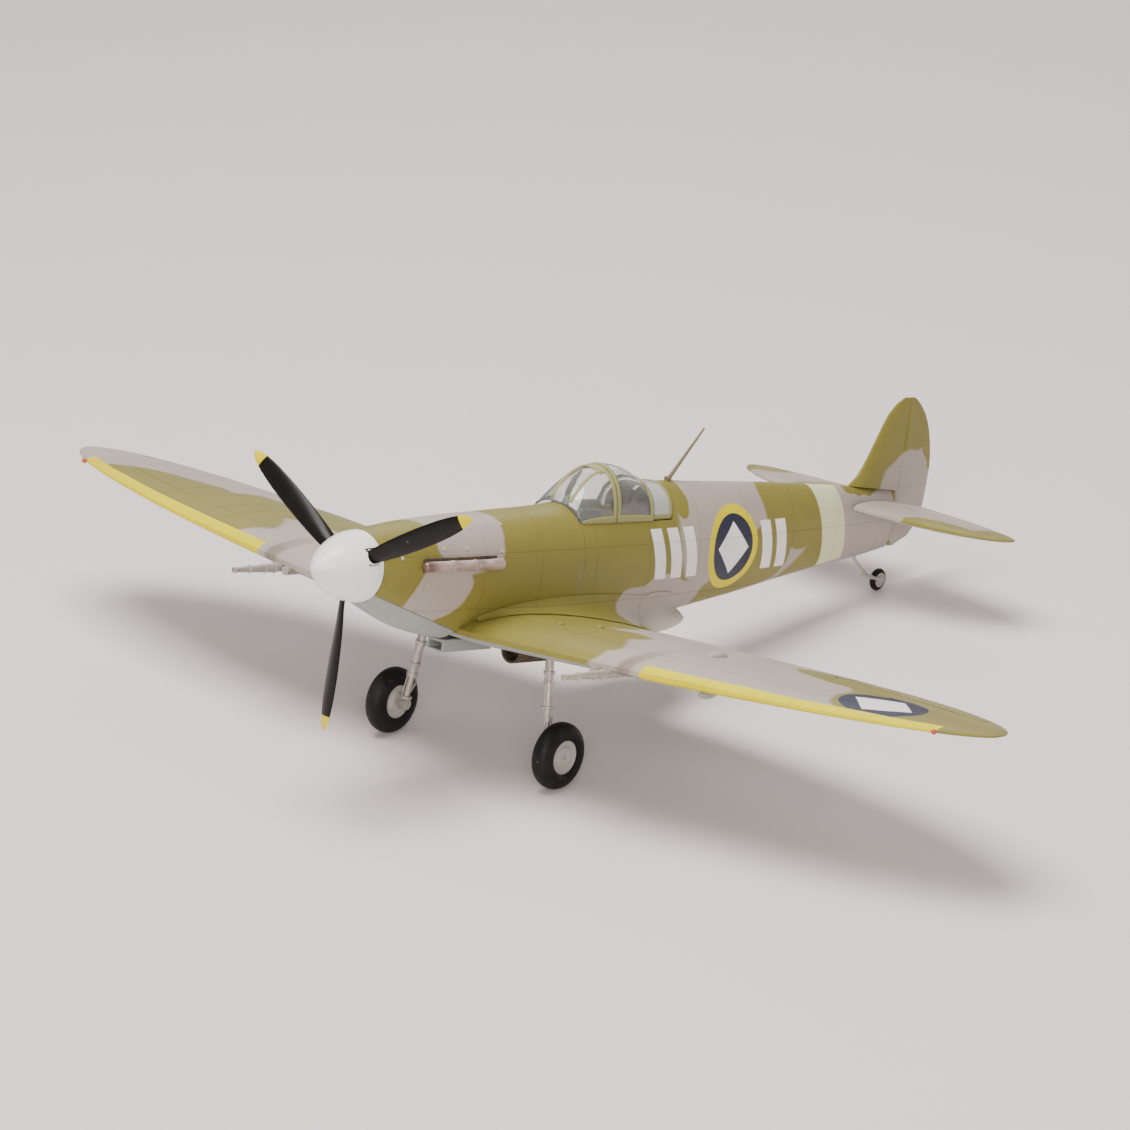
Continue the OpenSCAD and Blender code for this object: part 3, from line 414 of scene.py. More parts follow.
def refine_node(node: str, body: Body, finish: bpy.types.Material, edge: float = 0.0,
                crease: float = 28.0) -> bpy.types.Object:
    """Stands a merged, smoothly shaded mesh with softened edges in for a CAD node.

    Args:
        node: the CAD node.
        body: the body it rides on.
        finish: its material.
        edge: width of the softened edges in millimetres, 0 for none.
        crease: angle in degrees past which an edge counts as sharp.

    Returns:
        The new object.
    """
    bm = bmesh.new()
    bm.from_mesh(frame["nodes"][node].data)
    bmesh.ops.remove_doubles(bm, verts=bm.verts, dist=NODE_MERGE)
    bmesh.ops.dissolve_limit(bm, angle_limit=math.radians(FLAT_DEG), verts=bm.verts, edges=bm.edges)
    piece = link_piece(bm, node + "_finished", body, [finish], [node], crease)
    if edge:
        bevel = piece.modifiers.new("soft_edges", "BEVEL")
        bevel.width, bevel.segments = edge * MM, 2
        bevel.limit_method, bevel.angle_limit = "ANGLE", math.radians(crease)
    return piece


def thicken(piece: bpy.types.Object, wall: float, outward: float = 0.0) -> bpy.types.Object:
    """Gives an open skin a wall.

    Args:
        piece: the skin.
        wall: its thickness in millimetres.
        outward: 0 to keep the outside where it is, 1 to keep the inside.

    Returns:
        The same object.
    """
    solid = piece.modifiers.new("wall", "SOLIDIFY")
    solid.thickness, solid.offset = wall * MM, -1 + 2 * outward
    return piece


# ---- node tools


class Tree:
    """Adds nodes to one node tree and joins them."""

    def __init__(self, tree: bpy.types.NodeTree) -> None:
        """Starts on a tree."""
        self.tree = tree
        self.count = 0

    def add(self, kind: str, **settings: object) -> bpy.types.Node:
        """Adds a node and sets its properties."""
        node = self.tree.nodes.new(kind)
        self.count += 1
        node.location = (200 * (self.count % 12), -220 * (self.count // 12))
        for key, value in settings.items():
            setattr(node, key, value)
        return node

    def put(self, socket: bpy.types.NodeSocket, value: object) -> None:
        """Joins a socket to another one, or sets its value."""
        if isinstance(value, bpy.types.NodeSocket):
            self.tree.links.new(value, socket)
        else:
            socket.default_value = value

    def math(self, operation: str, a: object, b: object = 0.0, clamp: bool = False) -> bpy.types.NodeSocket:
        """Result of a sum on two values."""
        node = self.add("ShaderNodeMath", operation=operation, use_clamp=clamp)
        self.put(node.inputs[0], a)
        self.put(node.inputs[1], b)
        return node.outputs[0]

    def plus(self, a: object, b: object, clamp: bool = False) -> bpy.types.NodeSocket:
        """Sum of a and b."""
        return self.math("ADD", a, b, clamp)

    def minus(self, a: object, b: object, clamp: bool = False) -> bpy.types.NodeSocket:
        """What is left of a without b."""
        return self.math("SUBTRACT", a, b, clamp)

    def times(self, a: object, b: object) -> bpy.types.NodeSocket:
        """Product of a and b."""
        return self.math("MULTIPLY", a, b)

    def most(self, a: object, b: object) -> bpy.types.NodeSocket:
        """The larger of a and b."""
        return self.math("MAXIMUM", a, b)

    def reach(self, a: object, b: object) -> bpy.types.NodeSocket:
        """Length of the slope whose sides are a and b."""
        return self.math("SQRT", self.plus(self.math("POWER", a, 2.0), self.math("POWER", b, 2.0)))

    def thin_line(self, away: object, width: object) -> bpy.types.NodeSocket:
        """A share that falls from 1 where away is 0 to 0 at width."""
        return self.minus(1.0, self.math("DIVIDE", away, width), clamp=True)

    def vector(self, operation: str, a: object, b: object = (0, 0, 0)) -> bpy.types.Node:
        """Node that works on two vectors."""
        node = self.add("ShaderNodeVectorMath", operation=operation)
        self.put(node.inputs[0], a)
        self.put(node.inputs[1], b)
        return node

    def blend(self, share: object, a: object, b: object) -> bpy.types.NodeSocket:
        """Colour a turning into colour b as share goes from 0 to 1."""
        node = self.add("ShaderNodeMix", data_type="RGBA")
        for index, value in ((0, share), (6, a), (7, b)):
            self.put(node.inputs[index], value)
        return node.outputs[2]

    def soft_step(self, value: object, low: float, high: float) -> bpy.types.NodeSocket:
        """A share that goes smoothly from 0 at low to 1 at high."""
        flip = low > high
        node = self.add("ShaderNodeMapRange", interpolation_type="SMOOTHSTEP")
        self.put(node.inputs[0], value)
        numbers = (min(low, high), max(low, high), float(flip), float(not flip))
        for index, number in enumerate(numbers, 1):
            node.inputs[index].default_value = number
        return node.outputs[0]

    def noise(self, place: object, scale: float, detail: float = 2.0) -> bpy.types.Node:
        """Noise node on a place."""
        node = self.add("ShaderNodeTexNoise")
        self.put(node.inputs["Vector"], place)
        node.inputs["Scale"].default_value = scale
        node.inputs["Detail"].default_value = detail
        return node

    def use(self, group: bpy.types.NodeTree, **values: object) -> bpy.types.Node:
        """Places a node group with its own values."""
        node = self.add("ShaderNodeGroup", node_tree=group)
        for key, value in values.items():
            self.put(node.inputs[key.replace("_", " ").capitalize()], value)
        return node


def new_group(name: str, takes: dict[str, object], gives: dict[str, str],
              ) -> tuple[Tree, bpy.types.bpy_prop_collection, bpy.types.bpy_prop_collection]:
    """Starts a shader node group.

    Args:
        name: the group's name.
        takes: inputs and their starting values.
        gives: outputs and their socket types.

    Returns:
        Its tree, the sockets that bring its inputs and the sockets that take its outputs.
    """
    group = bpy.data.node_groups.new(name, "ShaderNodeTree")
    kinds = {1: "NodeSocketFloat", 3: "NodeSocketVector", 4: "NodeSocketColor"}
    for key, value in takes.items():
        kind = kinds[len(value) if isinstance(value, tuple) else 1]
        group.interface.new_socket(name=key, in_out="INPUT", socket_type=kind).default_value = value
    for key, kind in gives.items():
        group.interface.new_socket(name=key, in_out="OUTPUT", socket_type=kind)
    tree = Tree(group)
    return tree, tree.add("NodeGroupInput").outputs, tree.add("NodeGroupOutput").inputs


def build_patch_group() -> bpy.types.NodeTree:
    """Group that masks one soft-edged patch of sprayed paint, an oval with a ragged outline."""
    tree, take, give = new_group("sprayed patch", {
        "Place": (0.0, 0.0, 0.0), "Centre": (0.0, 0.0, 0.0), "Size": (1.0, 1.0, 1.0),
        "Turn": (0.0, 0.0, 0.0), "Ragged": 14.0, "Below": 0.0}, {"Mask": "NodeSocketFloat"})
    cloud = tree.noise(take["Place"], 0.045, 1.0)
    shift = tree.vector("SUBTRACT", cloud.outputs["Color"], (0.5, 0.5, 0.5)).outputs[0]
    pushed = tree.add("ShaderNodeVectorMath", operation="SCALE")
    tree.put(pushed.inputs[0], shift)
    tree.put(pushed.inputs["Scale"], take["Ragged"])
    moved = tree.vector("ADD", take["Place"], pushed.outputs[0]).outputs[0]
    centred = tree.vector("SUBTRACT", moved, take["Centre"]).outputs[0]
    spun = tree.add("ShaderNodeVectorRotate", rotation_type="EULER_XYZ")
    tree.put(spun.inputs["Vector"], centred)
    tree.put(spun.inputs["Rotation"], take["Turn"])
    shrunk = tree.vector("DIVIDE", spun.outputs[0], take["Size"]).outputs[0]
    away = tree.vector("LENGTH", shrunk).outputs["Value"]
    inside = tree.soft_step(away, 1.035, 0.965)
    tree.put(give["Mask"], tree.most(inside, take["Below"]))
    return tree.tree


def build_seam_group() -> bpy.types.NodeTree:
    """Group that draws evenly spaced panel seams with a row of rivets beside each."""
    tree, take, give = new_group("panel seams", {
        "Along": 0.0, "Across": 0.0, "Pitch": 50.0, "Offset": 0.0, "Width": 0.35, "Rivet pitch": 5.0},
        {"Line": "NodeSocketFloat", "Rivets": "NodeSocketFloat"})

    def off_centre(value: object, pitch: object) -> bpy.types.NodeSocket:
        """Distance from the middle of the nearest pitch."""
        share = tree.math("FRACT", tree.math("DIVIDE", value, pitch))
        return tree.times(tree.math("ABSOLUTE", tree.minus(share, 0.5)), pitch)

    shifted = tree.plus(take["Along"], take["Offset"])
    gap = off_centre(shifted, take["Pitch"])
    line = tree.thin_line(gap, take["Width"])
    tree.put(give["Line"], line)
    beside = tree.math("ABSOLUTE", tree.minus(gap, 1.8))
    up = off_centre(take["Across"], take["Rivet pitch"])
    away = tree.reach(beside, up)
    tree.put(give["Rivets"], tree.soft_step(away, 0.5, 0.3))
    return tree.tree


def build_wear_group() -> bpy.types.NodeTree:
    """Group that ages a painted skin: tone mottling, dust, grime in seams and a fine sprayed grain."""
    tree, take, give = new_group("aged paint", {
        "Color": (0.5, 0.5, 0.5, 1.0), "Place": (0.0, 0.0, 0.0), "Line": 0.0, "Rivets": 0.0,
        "Mottle": 0.12, "Gloss": 0.4}, {"Color": "NodeSocketColor", "Roughness": "NodeSocketFloat",
                                        "Height": "NodeSocketFloat"})
    place = take["Place"]
    broad = tree.noise(place, 0.03, 4.0).outputs["Fac"]
    fine = tree.noise(place, 0.9, 3.0).outputs["Fac"]
    tone = tree.plus(tree.times(tree.minus(broad, 0.5), 2.0),
                     tree.times(tree.minus(fine, 0.5), 0.6))
    level = tree.plus(1.0, tree.times(tone, take["Mottle"]))
    worn = tree.minus(level, tree.times(take["Line"], 0.3))
    worn = tree.minus(worn, tree.times(take["Rivets"], 0.07))
    scaled = tree.add("ShaderNodeVectorMath", operation="SCALE")
    tree.put(scaled.inputs[0], take["Color"])
    tree.put(scaled.inputs["Scale"], worn)
    chips = tree.soft_step(tree.noise(place, 0.35, 6.0).outputs["Fac"], 0.70, 0.76)
    tree.put(give["Color"], tree.blend(tree.times(chips, 0.25), scaled.outputs[0],
                                               (0.55, 0.52, 0.45, 1.0)))
    rough = tree.plus(take["Gloss"], tree.times(tree.minus(broad, 0.5), 0.25))
    tree.put(give["Roughness"], tree.plus(rough, tree.times(take["Line"], 0.3),
                                                  clamp=True))
    height = tree.plus(tree.times(fine, 0.05), tree.times(take["Rivets"], 0.35))
    tree.put(give["Height"], tree.minus(height, take["Line"]))
    return tree.tree


def build_grain_group() -> bpy.types.NodeTree:
    """Group for bare materials: streaks along one way, with values for roughness and height."""
    tree, take, give = new_group("fine grain", {
        "Color": (0.5, 0.5, 0.5, 1.0), "Dark": (0.2, 0.2, 0.2, 1.0), "Place": (0.0, 0.0, 0.0),
        "Stretch": (1.0, 1.0, 1.0), "Gloss": 0.4, "Spread": 0.2}, {
        "Color": "NodeSocketColor", "Roughness": "NodeSocketFloat", "Height": "NodeSocketFloat"})
    pulled = tree.vector("MULTIPLY", take["Place"], take["Stretch"]).outputs[0]
    streak = tree.noise(pulled, 0.8, 5.0).outputs["Fac"]
    cloud = tree.noise(take["Place"], 0.12, 3.0).outputs["Fac"]
    mixed = tree.plus(tree.times(streak, 0.6), tree.times(cloud, 0.4))
    share = tree.soft_step(mixed, 0.62, 0.38)
    tree.put(give["Color"], tree.blend(share, take["Color"], take["Dark"]))
    tree.put(give["Roughness"], tree.plus(take["Gloss"], tree.times(share, take["Spread"]), clamp=True))
    tree.put(give["Height"], streak)
    return tree.tree


@dataclass(frozen=True)
class Groups:
    """The shared shader node groups."""

    patch: bpy.types.NodeTree = field(default_factory=build_patch_group)
    seams: bpy.types.NodeTree = field(default_factory=build_seam_group)
    wear: bpy.types.NodeTree = field(default_factory=build_wear_group)
    grain: bpy.types.NodeTree = field(default_factory=build_grain_group)


class Finish(Tree):
    """A new material with its Principled shader and a level place in millimetres."""

    def __init__(self, name: str, groups: Groups) -> None:
        """Starts a material of that name."""
        self.material = bpy.data.materials.new(name)
        self.material.use_nodes = True
        super().__init__(self.material.node_tree)
        self.groups = groups
        self.shader = self.tree.nodes["Principled BSDF"]
        coordinates = self.add("ShaderNodeTexCoord")
        mapping = self.add("ShaderNodeMapping", vector_type="TEXTURE")
        self.put(mapping.inputs["Vector"], coordinates.outputs["Object"])
        mapping.inputs["Location"].default_value = SPIN_JOINT["pos_m"]
        mapping.inputs["Rotation"].default_value = (0, -PITCH, 0)
        mapping.inputs["Scale"].default_value = (MM, MM, MM)
        self.place = mapping.outputs[0]
        parts = self.add("ShaderNodeSeparateXYZ")
        self.put(parts.inputs[0], self.place)
        self.x, self.y, self.z = parts.outputs
        self.side = self.math("ABSOLUTE", self.y)

    def set(self, **values: object) -> "Finish":
        """Sets sockets of the shader by their names."""
        for key, value in values.items():
            name = key.replace("_", " ").title().replace("Ior", "IOR")
            self.put(self.shader.inputs[name], value)
        return self

    def bump(self, height: object, depth: float) -> "Finish":
        """Gives the surface a relief of that depth in millimetres."""
        node = self.add("ShaderNodeBump")
        node.inputs["Strength"].default_value = 1.0
        node.inputs["Distance"].default_value = depth * MM
        self.put(node.inputs["Height"], height)
        self.put(self.shader.inputs["Normal"], node.outputs[0])
        return self

    def age(self, colour: object, gloss: float, mottle: float = 0.12, line: object = 0.0,
            rivets: object = 0.0, depth: float = 0.12) -> "Finish":
        """Finishes the surface as aged paint."""
        node = self.use(self.groups.wear, color=colour, place=self.place, line=line, rivets=rivets,
                        mottle=mottle, gloss=gloss)
        self.set(base_color=node.outputs["Color"], roughness=node.outputs["Roughness"])
        self.shader.inputs["Specular IOR Level"].default_value = PAINT_SHINE
        return self.bump(node.outputs["Height"], depth)

    def grain(self, colour: Colour, dark: Colour, gloss: float, stretch: tuple[float, float, float],
              spread: float = 0.2, depth: float = 0.03) -> "Finish":
        """Finishes the surface as a bare, streaked material."""
        node = self.use(self.groups.grain, color=colour, dark=dark, place=self.place, stretch=stretch,
                        gloss=gloss, spread=spread)
        self.set(base_color=node.outputs["Color"], roughness=node.outputs["Roughness"])
        return self.bump(node.outputs["Height"], depth)

    def patches(self, base: object, colour: Colour, ovals: Iterable["Oval"]) -> bpy.types.NodeSocket:
        """Sprays patches of one colour over another.

        Args:
            base: the colour beneath.
            colour: the colour sprayed.
            ovals: the patches.

        Returns:
            The colour that results.
        """
        mask: object = 0.0
        for oval in ovals:
            node = self.use(self.groups.patch, place=self.place, centre=oval.centre, size=oval.size,
                            turn=oval.turn, below=mask)
            mask = node.outputs["Mask"]
        return self.blend(mask, base, colour)

    def within(self, value: object, low: float, high: float, soft: float = 0.25) -> bpy.types.NodeSocket:
        """Mask of the values between low and high."""
        rise = self.soft_step(value, low - soft, low + soft)
        fall = self.soft_step(value, high + soft, high - soft)
        return self.times(rise, fall)


@dataclass(frozen=True)
class Paint:
    """A plain painted or moulded surface."""

    name: str
    colour: Colour
    gloss: float
    mottle: float
    depth: float
    coat: float = 0.0

    def make(self, groups: Groups) -> bpy.types.Material:
        """Makes the material."""
        finish = Finish(self.name, groups).age(self.colour, self.gloss, self.mottle, depth=self.depth)
        return (finish.set(coat_weight=self.coat) if self.coat else finish).material


@dataclass(frozen=True)
class Bare:
    """A plain metal, wood or plastic surface with streaks along one way."""

    name: str
    colour: Colour
    dark: Colour
    gloss: float
    stretch: tuple[float, float, float]
    metallic: float = 0.0
    depth: float = 0.03

    def make(self, groups: Groups) -> bpy.types.Material:
        """Makes the material."""
        finish = Finish(self.name, groups).grain(self.colour, self.dark, self.gloss, self.stretch,
                                                 depth=self.depth)
        return (finish.set(metallic=self.metallic) if self.metallic else finish).material


@dataclass(frozen=True)
class Oval:
    """One sprayed patch, seen from the side ("across" is z) or from above ("across" is y)."""

    s: float
    across: float
    half_s: float
    half_across: float
    turn_deg: float = 0.0
    from_above: bool = False
    either_side: float = 900.0

    @property
    def centre(self) -> tuple[float, float, float]:
        """Middle of the patch."""
        return (-self.s, self.across, 0.0) if self.from_above else (-self.s, 0.0, self.across)

    @property
    def size(self) -> tuple[float, float, float]:
        """Half lengths of the patch."""
        flat = (self.half_s, self.half_across, self.either_side)
        return flat if self.from_above else (self.half_s, self.either_side, self.half_across)

    @property
    def turn(self) -> tuple[float, float, float]:
        """Turn of the patch about the line of sight."""
        angle = math.radians(self.turn_deg)
        return (0.0, 0.0, angle) if self.from_above else (0.0, angle, 0.0)


OLIVE: Colour = (0.225, 0.197, 0.042, 1)
WARM_GREY: Colour = (0.40, 0.345, 0.30, 1)
SKY: Colour = (0.33, 0.345, 0.325, 1)
YELLOW: Colour = (0.72, 0.62, 0.0, 1)
CREAM: Colour = (0.66, 0.69, 0.42, 1)
NAVY: Colour = (0.022, 0.024, 0.05, 1)
WHITE: Colour = (0.90, 0.88, 0.85, 1)
FRAME_OLIVE: Colour = (0.30, 0.30, 0.12, 1)
SOOT: Colour = (0.10, 0.06, 0.02, 1)

TAIL_BAND, BAND_LEAN = (514.5, 544.5), 0.30
BAR_ROWS = ((311, 323), (329, 341), (347, 359), (438, 450), (456, 468))
BAR_FEET, BAR_TOPS, BAR_LEAN, BAR_COVER = -14.0, 20.0, 0.22, 0.94
KEEL_SLOPE, BELLY_FRONT_X, BELLY_EDGE = -0.139, -306.0, (-90.4, -91.2)
DIAMOND = 0.78  # half diagonal of the badge's diamond, as a share of its dark disc
EDGE_DEPTH, EDGE_FROM_Y, EDGE_TO_Y = (9.0, 8.4), 167.0, 372.0
BLADE_TIP_R = (98.7, 99.3)


class Finishes:
    """Every material of the aircraft."""

    def __init__(self, groups: Groups) -> None:
        """Makes them all."""
        self.groups = groups
        self.fuselage = self.make_fuselage()
        self.wing = self.make_wing()
        self.fin = self.make_fin()
        self.tailplane = self.make_tailplane()
        self.cowl = self.make_cowl()
        self.blade = self.make_blade()
        self.glass = self.make_glass()
        self.frosted = self.make_frosted()
        self.tyre = self.make_tyre()
        self.exhaust = self.make_exhaust()
        self.wrap = self.make_wrap("heat_shrink", (0.03, 0.05, 0.12, 1), 0.3)
        self.servo = self.make_wrap("servo_case", (0.025, 0.03, 0.05, 1), 0.42)
        self.floor = self.make_floor()
        self.spinner = Paint("off_white_paint", WHITE, 0.28, 0.05, 0.03, coat=0.3).make(groups)
        self.frames = Paint("canopy_frame_paint", FRAME_OLIVE, 0.4, 0.1, 0.03).make(groups)
        self.hub = Paint("grey_hub_paint", (0.44, 0.42, 0.38, 1), 0.4, 0.14, 0.04).make(groups)
        self.mast = Paint("mast_paint", (0.17, 0.135, 0.075, 1), 0.4, 0.12, 0.03).make(groups)
        self.tub = Paint("cockpit_grey", (0.24, 0.25, 0.22, 1), 0.45, 0.3, 0.05).make(groups)
        self.seat = Paint("seat_brown", (0.10, 0.045, 0.02, 1), 0.5, 0.25, 0.08).make(groups)
        self.pad = Paint("dark_leather", (0.035, 0.022, 0.016, 1), 0.45, 0.3, 0.1).make(groups)
        self.red_lens = Paint("red_lens", (0.55, 0.06, 0.03, 1), 0.15, 0.1, 0.01, coat=0.6).make(groups)
        self.nylon = Paint("white_nylon", (0.75, 0.74, 0.68, 1), 0.45, 0.05, 0.02).make(groups)
        self.leg = Bare("satin_leg", (0.55, 0.51, 0.46, 1), (0.42, 0.38, 0.34, 1), 0.3, (1, 1, 0.15),
                        metallic=0.55).make(groups)
        self.bright = Bare("bright_steel", (0.72, 0.72, 0.70, 1), (0.5, 0.5, 0.5, 1), 0.18, (0.1, 1, 1),
                           metallic=1.0).make(groups)
        # Dark brown: painted shade on the panel behind each exhaust pipe, and the dark colour of the oil
        # cooler.
        self.soot = Bare("sooty_recess", (0.10, 0.075, 0.04, 1), (0.03, 0.022, 0.015, 1), 0.7,
                         (1, 1, 1)).make(groups)
        self.brass = Bare("worn_brass", (0.66, 0.47, 0.19, 1), (0.36, 0.24, 0.09, 1), 0.25, (1, 1, 0.1),
                          metallic=1.0).make(groups)
        self.ply = Bare("birch_ply", (0.62, 0.44, 0.25, 1), (0.42, 0.27, 0.13, 1), 0.6, (0.06, 1.0, 1.0),
                        depth=0.08).make(groups)
        self.spar = Bare("pultruded_tube", (0.05, 0.05, 0.055, 1), (0.02, 0.02, 0.022, 1), 0.35,
                         (1, 0.04, 1)).make(groups)
        self.case = Bare("black_motor_case", (0.05, 0.05, 0.055, 1), (0.02, 0.02, 0.02, 1), 0.3,
                         (0.1, 1, 1), metallic=0.8).make(groups)
        self.copper = Bare("copper_windings", (0.70, 0.30, 0.12, 1), (0.28, 0.09, 0.03, 1), 0.35,
                           (1.5, 1, 1), metallic=1.0).make(groups)

    def make_fuselage(self) -> bpy.types.Material:
        """Olive and grey camouflage with a pale band, roundels, plain code bars and a pale belly."""
        f = Finish("fuselage_camouflage", self.groups)
        grey = [Oval(124, 24, 34, 26), Oval(97, -13, 30, 22, -32), Oval(418, 20, 80, 60),
                Oval(325, -30, 50, 17), Oval(566, 0, 42, 70)]
        olive = [Oval(414, -30, 40, 20), Oval(478, 32, 38, 34), Oval(448, -5, 26, 22), Oval(562, 36, 22, 7),
                 Oval(344, 44, 10, 18)]
        colour = f.patches(OLIVE, WARM_GREY, grey)
        colour = f.patches(colour, OLIVE, olive)
        tilt = f.plus(f.times(f.x, -1.0), f.times(f.z, BAND_LEAN))
        colour = f.blend(f.within(tilt, *TAIL_BAND, 0.5), colour, CREAM)
        under = f.minus(f.z, f.times(f.x, KEEL_SLOPE))
        aft = f.soft_step(f.x, BELLY_FRONT_X, BELLY_FRONT_X - 1.0)
        colour = f.blend(f.times(aft, f.soft_step(under, *BELLY_EDGE)), colour, SKY)
        colour = self.add_bars(f, colour)
        colour = self.add_badge(f, colour, -402.0, 3.0, 29.0, f.z, 23.0)
        seams = f.use(self.groups.seams, along=f.x, across=f.z, pitch=56.5, offset=-5.0, width=0.45)
        lengthwise = f.use(self.groups.seams, along=f.z, across=f.x, pitch=37.0, offset=8.0, width=0.4)
        line = f.most(seams.outputs[0], lengthwise.outputs[0])
        rivets = f.most(seams.outputs[1], lengthwise.outputs[1])
        return f.age(colour, 0.42, 0.1, line, rivets).material

    def add_bars(self, f: Finish, colour: object) -> bpy.types.NodeSocket:
        """Paints two blocks of slanted white bars on each side, in place of code letters."""
        slant = f.plus(f.times(f.x, -1.0), f.times(f.z, BAR_LEAN))
        tall = f.within(f.z, BAR_FEET, BAR_TOPS, 0.3)
        for low, high in BAR_ROWS:
            bar = f.times(tall, f.within(slant, low, high, 0.3))
            colour = f.blend(f.times(bar, BAR_COVER), colour, WHITE)
        return colour

    def add_badge(self, f: Finish, colour: object, x: float, across: float, radius: float,
                  other: object, inner: float) -> bpy.types.NodeSocket:
        """Paints a ringed disc with a white diamond on it.

        Args:
            f: the material.
            colour: the colour beneath.
            x: level x of the middle.
            across: its other coordinate.
            radius: of the ring.
            other: socket with the other coordinate.
            inner: radius of the dark disc.

        Returns:
            The colour that results.
        """
        dx, dz = f.minus(f.x, x), f.minus(other, across)
        away = f.reach(dx, dz)
        colour = f.blend(f.soft_step(away, radius + 0.3, radius - 0.3), colour, YELLOW)
        colour = f.blend(f.soft_step(away, inner + 0.3, inner - 0.3), colour, NAVY)
        sum_of = f.plus(f.math("ABSOLUTE", dx), f.math("ABSOLUTE", dz))
        return f.blend(f.soft_step(sum_of, DIAMOND * inner + 0.4, DIAMOND * inner - 0.4), colour, WHITE)

    def under_above(self, f: Finish, colour: object) -> bpy.types.NodeSocket:
        """Keeps a colour on the faces marked as upper and paints the lower ones pale."""
        mark = f.add("ShaderNodeAttribute", attribute_name="above")
        return f.blend(f.soft_step(mark.outputs["Fac"], 0.48, 0.52), SKY, colour)

    def make_wing(self) -> bpy.types.Material:
        """Wing camouflage with yellow leading edges, a badge to port and panel seams."""
        f = Finish("wing_camouflage", self.groups)
        olive = [Oval(236, 315, 40, 46, from_above=True), Oval(214, -232, 34, 34, from_above=True),
                 Oval(150, 60, 62, 72, from_above=True), Oval(222, 24, 80, 60, from_above=True),
                 Oval(198, 105, 14, 16, from_above=True), Oval(204, 348, 62, 66, from_above=True),
                 Oval(250, 264, 32, 52, from_above=True), Oval(172, -268, 44, 82, from_above=True),
                 Oval(257, -188, 45, 60, from_above=True), Oval(150, -40, 40, 60, from_above=True)]
        colour = f.patches(WARM_GREY, OLIVE, olive)
        span = f.math("MINIMUM", f.math("DIVIDE", f.side, WING.half_span), 0.9999)
        fade = f.minus(1.0, f.math("SQRT", f.minus(1.0, f.math("POWER", span, 2.0))))
        behind = f.minus(f.times(f.x, -1.0),
                        f.plus(WING.le_s, f.times(fade, WING.tip_setback)))
        edge = f.times(f.soft_step(behind, *EDGE_DEPTH), f.within(f.side, EDGE_FROM_Y, EDGE_TO_Y, 0.4))
        badge = self.add_badge(f, colour, -195.0, 318.0, 29.0, f.y, 29.0)
        colour = self.under_above(f, badge)
        colour = f.blend(edge, colour, YELLOW)
        stain = f.times(f.within(f.side, 149.0, 160.0, 2.5), f.soft_step(behind, 60.0, 2.0))
        colour = f.blend(f.times(stain, 0.5), colour, SOOT)
        ribs = f.use(self.groups.seams, along=f.y, across=f.x, pitch=62.0, offset=2.0, width=0.4,
                     rivet_pitch=5.5)
        front = f.minus(behind, f.plus(38.0, f.times(f.math("MINIMUM", fade, 0.22), -54.0)))
        spar = f.thin_line(f.math("ABSOLUTE", front), 0.7)
        rear = f.thin_line(f.math("ABSOLUTE", f.minus(front, 62.0)), 0.4)
        line = f.most(f.most(ribs.outputs[0], spar), rear)
        return f.age(colour, 0.42, 0.1, line, ribs.outputs[1]).material

    def make_fin(self) -> bpy.types.Material:
        """Fin and rudder camouflage with rib seams."""
        f = Finish("fin_camouflage", self.groups)
        colour = f.patches(OLIVE, WARM_GREY, [Oval(628, 25, 47, 36)])
        colour = f.patches(colour, OLIVE, [Oval(646, 66, 12, 22)])
        ribs = f.use(self.groups.seams, along=f.z, across=f.x, pitch=15.0, offset=4.0, width=0.3,
                     rivet_pitch=4.0)
        return f.age(colour, 0.38, 0.1, f.times(ribs.outputs[0], 0.5), ribs.outputs[1]).material

    def make_tailplane(self) -> bpy.types.Material:
        """Tailplane camouflage, pale beneath."""
        f = Finish("tailplane_camouflage", self.groups)
        olive = [Oval(560, 95, 22, 45, from_above=True), Oval(592, 116, 30, 24, from_above=True),
                 Oval(577, -30, 38, 24, from_above=True), Oval(596, -104, 24, 20, from_above=True)]
        colour = self.under_above(f, f.patches(WARM_GREY, OLIVE, olive))
        ribs = f.use(self.groups.seams, along=f.y, across=f.x, pitch=19.0, offset=3.0, width=0.3,
                     rivet_pitch=4.0)
        return f.age(colour, 0.38, 0.1, f.times(ribs.outputs[0], 0.5), ribs.outputs[1]).material

    def make_cowl(self) -> bpy.types.Material:
        """Pale lower cowl, fillet undersides and intake."""
        f = Finish("pale_cowl_paint", self.groups)
        seams = f.use(self.groups.seams, along=f.x, across=f.z, pitch=46.0, offset=12.0, width=0.45)
        return f.age(SKY, 0.42, 0.16, seams.outputs[0], seams.outputs[1]).material

    def make_blade(self) -> bpy.types.Material:
        """Satin black blades with yellow tips."""
        f = Finish("black_blades", self.groups)
        away = f.reach(f.y, f.z)
        colour = f.blend(f.soft_step(away, *BLADE_TIP_R), (0.007, 0.006, 0.0055, 1), YELLOW)
        return f.age(colour, 0.34, 0.25, depth=0.03).material

    def make_glass(self) -> bpy.types.Material:
        """Thin clear plastic that shows reflections and lets the cockpit through."""
        f = Finish("clear_canopy", self.groups)
        fine = f.noise(f.place, 0.15, 2.0).outputs["Fac"]
        f.set(base_color=(0.95, 0.96, 0.94, 1), roughness=f.plus(0.03, f.times(fine, 0.05)), ior=1.45)
        f.shader.inputs["Transmission Weight"].default_value = 0.93
        return f.material

    def make_frosted(self) -> bpy.types.Material:
        """Milky rear pane."""
        f = Finish("milky_pane", self.groups).age((0.66, 0.67, 0.62, 1), 0.25, 0.12, depth=0.02)
        f.shader.inputs["Transmission Weight"].default_value = 0.35
        return f.set(coat_weight=0.5).material

